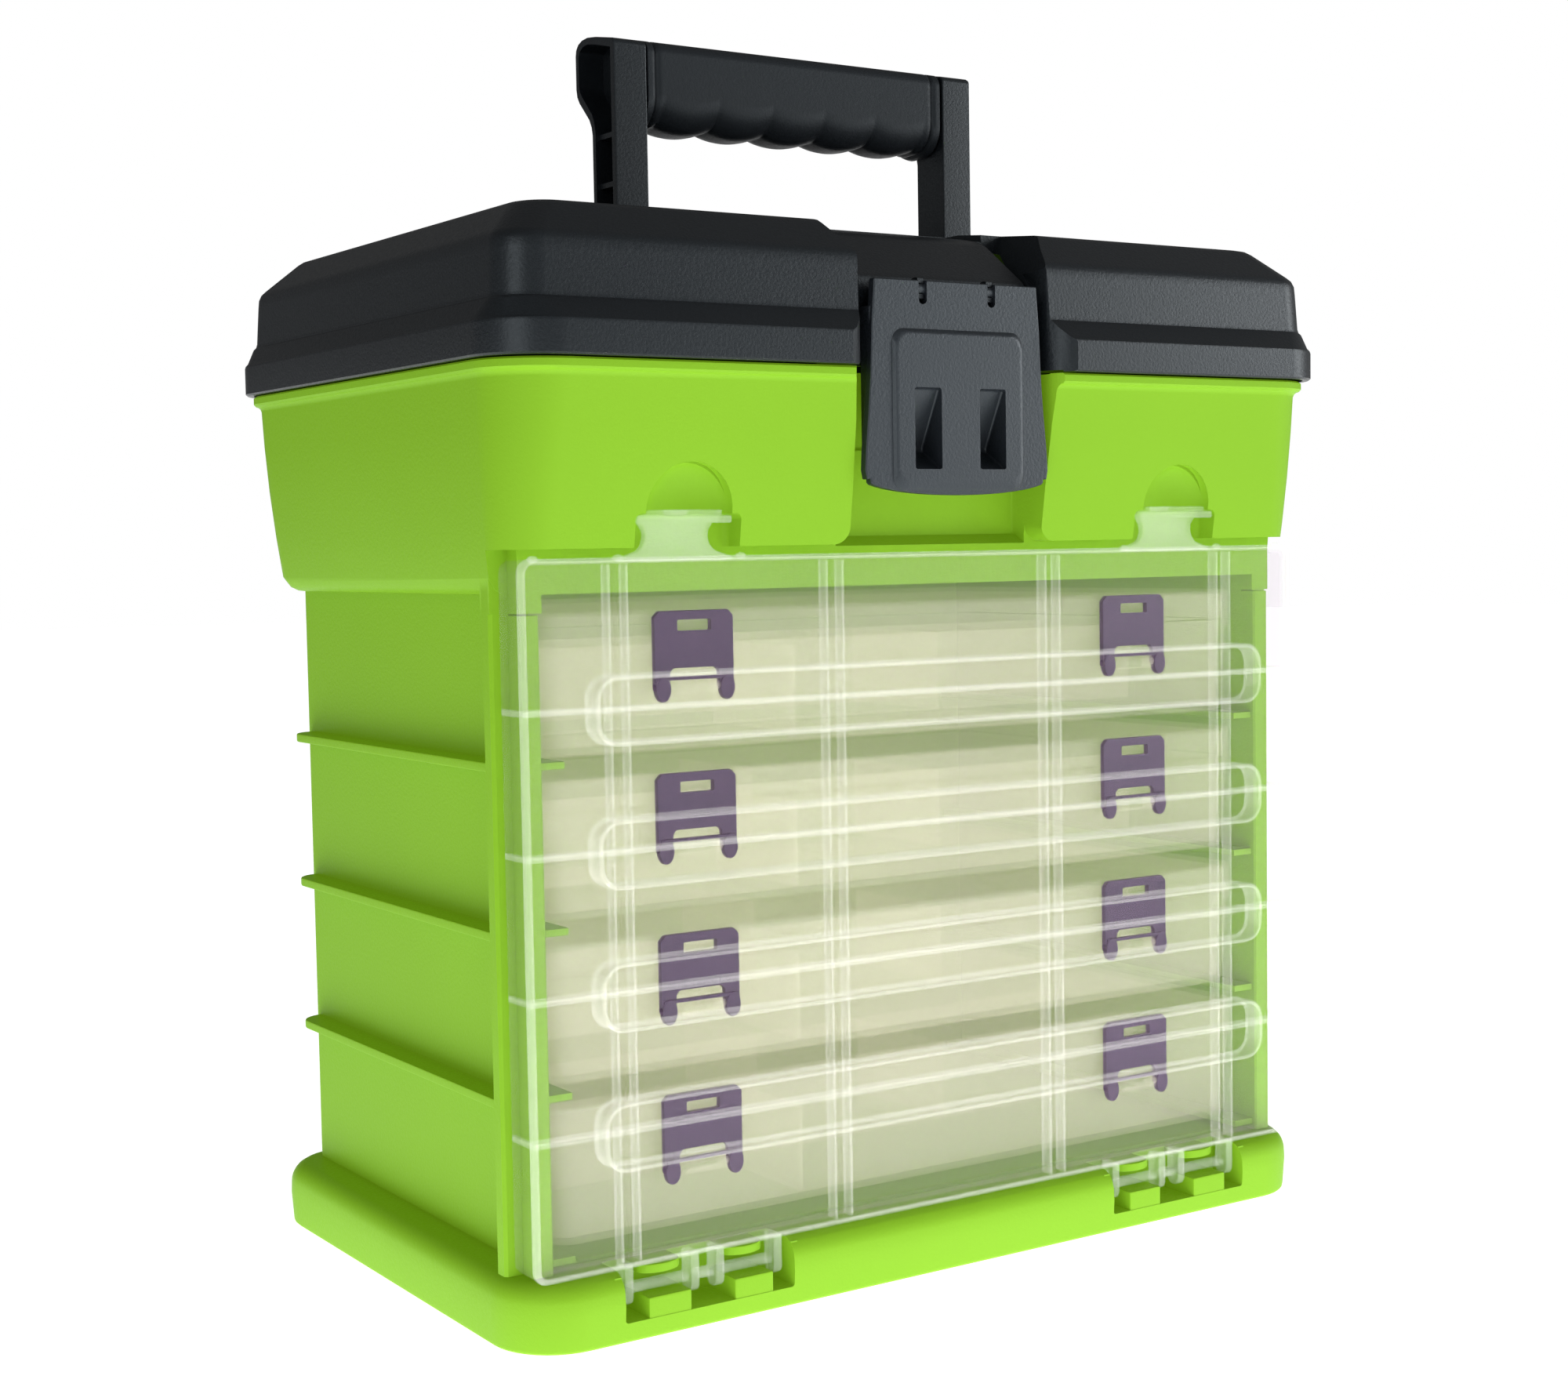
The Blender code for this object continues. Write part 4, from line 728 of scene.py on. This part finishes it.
def build_tray(name, z):
    """The tray with its two long walls and the pins of its latches."""
    w = TRAY_WALL
    tray = solid(loft([
        plan(ORG_X - 5.0, ORG_FRONT_Y + 3.4, ORG_REAR_Y - 3.4, 4.0, z, 5),
        plan(ORG_X - 3.6, ORG_FRONT_Y + 2.2, ORG_REAR_Y - 2.2, 4.5, z + 0.5, 5),
        plan(ORG_X - 2.2, ORG_FRONT_Y + 1.3, ORG_REAR_Y - 1.3, 5.0, z + 2.2, 5),
        plan(ORG_X - 0.7, ORG_FRONT_Y + 0.6, ORG_REAR_Y - 0.6, 5.8, z + TRAY_H - 2.2, 5),
        plan(ORG_X, ORG_FRONT_Y, ORG_REAR_Y, 6.0, z + TRAY_H - 1.8, 5),
        plan(ORG_X, ORG_FRONT_Y, ORG_REAR_Y, 6.0, z + TRAY_H, 5),
        plan(ORG_X - w - 0.7, ORG_FRONT_Y + w + 0.6, ORG_REAR_Y - w - 0.6, 5.0, z + TRAY_H, 5),
        plan(ORG_X - w - 2.2, ORG_FRONT_Y + w + 1.3, ORG_REAR_Y - w - 1.3, 4.0, z + 2.2, 5)]), f"{name}_tray_shell")
    for y in LONG_WALLS_Y:
        join(tray, box((-ORG_X + 1.8, ORG_X - 1.8), (y - 0.6, y + 0.6), (z + 1.2, z + TRAY_H - 1.6)))
    for side in (1, -1):
        x = side * DRAWER_LATCH_X
        join(tray, box((x - 6.0, x + 6.0), (DRAWER_PIVOT_Y, ORG_FRONT_Y + 1.6), (z + 14.6, z + 18.0)),
             rod((x - 6.2, x + 6.2), DRAWER_PIVOT_Y, z + DRAWER_PIVOT_Z, 2.0),
             rod((x - 10.4, x + 10.4), DRAWER_PIVOT_Y, z + DRAWER_PIVOT_Z, PIVOT_R, 12))
    dress(tray, CLEAR, name, [f"{name}_tray"])


def build_tray_lid(name, z):
    w = TRAY_WALL
    low, top, front = z + TRAY_H + GAP, z + ORG_H, ORG_FRONT_Y - 0.2
    lid = solid(loft([
        plan(ORG_X - 1.0, front + 1.0, ORG_REAR_Y - 1.0, 5.0, top, 5),
        plan(ORG_X - 0.2, front + 0.2, ORG_REAR_Y - 0.2, 5.8, top - 0.4, 5),
        plan(ORG_X, front, ORG_REAR_Y, 6.0, top - 1.2, 5),
        plan(ORG_X, front, ORG_REAR_Y, 6.0, low, 5),
        plan(ORG_X - w, front + w, ORG_REAR_Y - w, 5.0, low, 5),
        plan(ORG_X - w, front + w, ORG_REAR_Y - w, 5.0, top - w, 5)]), f"{name}_lid_shell")
    dress(lid, CLEAR, name, [f"{name}_lid"])


def build_drawer_latch(name, label, x, z):
    """A plate with a window, on two legs that turn on the tray's pins."""
    w = DRAWER_LATCH_W
    outline = [(x - w, z + 15.5), (x - w, z + 34.0), (x - w + 1.5, z + 35.5), (x + w - 1.5, z + 35.5),
               (x + w, z + 34.0), (x + w, z + 15.5), (x + w - 4.4, z + 15.5), (x + w - 4.6, z + 20.0),
               (x + w - 5.6, z + 21.0), (x - w + 5.6, z + 21.0), (x - w + 4.6, z + 20.0), (x - w + 4.4, z + 15.5)]
    latch = solid(soften(prism(outline, "Y", -70.0, -68.3), 0.4), f"{name}_{label}_clip")
    for x0, x1 in ((x - w, x - w + 4.5), (x + w - 4.5, x + w)):
        oval = [((x0 + x1) / 2 + 2.25 * math.cos(a), z + 15.8 + 3.3 * math.sin(a))
                for a in [math.pi * i / 10 for i in range(20)]]
        join(latch, soften(prism(oval, "Y", -70.6, -68.6), 0.5))
    join(latch, soften(box((x - w + 0.6, x + w - 0.6), (-70.4, -69.0), (z + 18.0, z + 18.9)), 0.2))
    cut(latch, soften(box((x - 5.0, x + 5.0), (-75.0, -60.0), (z + 30.4, z + 33.2)), 0.4),
        rod((x - 15.0, x + 15.0), DRAWER_PIVOT_Y, z + DRAWER_PIVOT_Z, PIVOT_R + 0.2, 12))
    dress(latch, SMOKE, name, [f"{name}_{label}_latch"])


build_base()
build_bin(build_shell())
build_lid()
build_latch()
build_handle()
build_grip()
build_door()
for organizer in range(1, ORGANIZERS + 1):
    build_organizer(organizer)


# ---------------------------------------------------------------- floor, light and camera
def build_floor():
    """A plain pale floor that throws soft light up at the box."""
    bm = bmesh.new()
    bmesh.ops.create_circle(bm, cap_ends=True, segments=96, radius=FLOOR_R)
    mesh = bpy.data.meshes.new("floor")
    bm.to_mesh(mesh)
    bm.free()
    floor = bpy.data.objects.new("floor", mesh)
    bpy.context.scene.collection.objects.link(floor)
    look = bpy.data.materials.new("floor")
    look.use_nodes = True
    nodes, links = look.node_tree.nodes, look.node_tree.links
    shader = nodes["Principled BSDF"]
    shader.inputs["Base Color"].default_value = (0.93, 0.93, 0.93, 1.0)
    shader.inputs["Roughness"].default_value = 0.9
    shader.inputs["Specular IOR Level"].default_value = 0.1
    shader.inputs["Emission Color"].default_value = (1.0, 1.0, 1.0, 1.0)
    # It glows most in front of the box.
    place = nodes.new("ShaderNodeTexCoord")
    far = nodes.new("ShaderNodeVectorMath")
    far.operation = "DISTANCE"
    far.inputs[1].default_value = FLOOR_GLOW_AT
    fall = nodes.new("ShaderNodeMapRange")
    fall.interpolation_type = "SMOOTHSTEP"
    fall.inputs["From Min"].default_value, fall.inputs["From Max"].default_value = FLOOR_GLOW_REACH
    fall.inputs["To Min"].default_value, fall.inputs["To Max"].default_value = FLOOR_GLOW_NEAR, FLOOR_GLOW
    # Only the soft light on the box is that strong: seen directly or mirrored, the floor is even.
    path = nodes.new("ShaderNodeLightPath")
    choose = nodes.new("ShaderNodeMix")
    choose.inputs["A"].default_value = FLOOR_GLOW
    links.new(place.outputs["Object"], far.inputs[0])
    links.new(far.outputs["Value"], fall.inputs["Value"])
    links.new(path.outputs["Is Diffuse Ray"], choose.inputs["Factor"])
    links.new(fall.outputs["Result"], choose.inputs["B"])
    links.new(choose.outputs["Result"], shader.inputs["Emission Strength"])
    mesh.materials.append(look)


def build_world():
    """A white background, and a studio that is dimmer overhead and behind the box than in front of it."""
    world = bpy.data.worlds.new("studio")
    bpy.context.scene.world = world
    world.use_nodes = True
    nodes, links = world.node_tree.nodes, world.node_tree.links
    nodes["Background"].inputs["Color"].default_value = (1.0, 1.0, 1.0, 1.0)
    place = nodes.new("ShaderNodeTexCoord")
    split = nodes.new("ShaderNodeSeparateXYZ")
    links.new(place.outputs["Generated"], split.inputs["Vector"])

    def between(axis, low, high, first, last):
        node = nodes.new("ShaderNodeMapRange")
        node.inputs["From Min"].default_value, node.inputs["From Max"].default_value = low, high
        node.inputs["To Min"].default_value, node.inputs["To Max"].default_value = first, last
        links.new(split.outputs[axis], node.inputs["Value"])
        return node.outputs["Result"]

    product = nodes.new("ShaderNodeMath")
    product.operation = "MULTIPLY"
    links.new(between("Y", -0.7, 0.7, 0.40, 0.14), product.inputs[0])
    links.new(between("Z", 0.0, 1.0, 1.0, 0.7), product.inputs[1])
    seen = nodes.new("ShaderNodeLightPath")
    mix = nodes.new("ShaderNodeMix")
    mix.inputs["B"].default_value = 1.0
    links.new(seen.outputs["Is Camera Ray"], mix.inputs["Factor"])
    links.new(product.outputs["Value"], mix.inputs["A"])
    links.new(mix.outputs["Result"], nodes["Background"].inputs["Strength"])


def area_light(name, place, target, size, power):
    """A square soft light that faces its target."""
    data = bpy.data.lights.new(name, "AREA")
    data.shape = "RECTANGLE"
    data.size, data.size_y, data.energy = size, size, power
    light = bpy.data.objects.new(name, data)
    light.location = place
    light.rotation_euler = (Vector(target) - Vector(place)).to_track_quat("-Z", "Y").to_euler()
    bpy.context.scene.collection.objects.link(light)


def build_camera():
    """The camera in front of the box, to its left, level with its top bin."""
    place = Vector(CAMERA_MM) * MM
    turn, pitch, roll = (math.radians(angle) for angle in CAMERA_TURN_PITCH_ROLL)
    ahead = Vector((math.sin(turn) * math.cos(pitch), math.cos(turn) * math.cos(pitch), -math.sin(pitch)))
    level = Vector((math.cos(turn), -math.sin(turn), 0.0))
    below = ahead.cross(level)
    right = math.cos(roll) * level + math.sin(roll) * below
    down = -math.sin(roll) * level + math.cos(roll) * below
    data = bpy.data.cameras.new("camera")
    data.sensor_fit, data.sensor_width, data.lens = "HORIZONTAL", SENSOR_MM, LENS_MM
    data.clip_start, data.clip_end = 0.01, 50.0
    camera = bpy.data.objects.new("camera", data)
    camera.matrix_world = Matrix.Translation(place) @ Matrix((right, -down, -ahead)).transposed().to_4x4()
    bpy.context.scene.collection.objects.link(camera)
    bpy.context.scene.camera = camera


build_floor()
build_world()
area_light("key", (1.70, -1.10, 0.55), (0.0, 0.0, 0.15), 0.9, 13.0)
area_light("fill", (-1.5, -0.9, 0.6), (0.0, 0.0, 0.15), 1.0, 5.0)
build_camera()
bpy.context.scene.view_settings.view_transform = "Standard"
bpy.context.scene.cycles.transparent_max_bounces = CLEAR_WALLS_DEEP
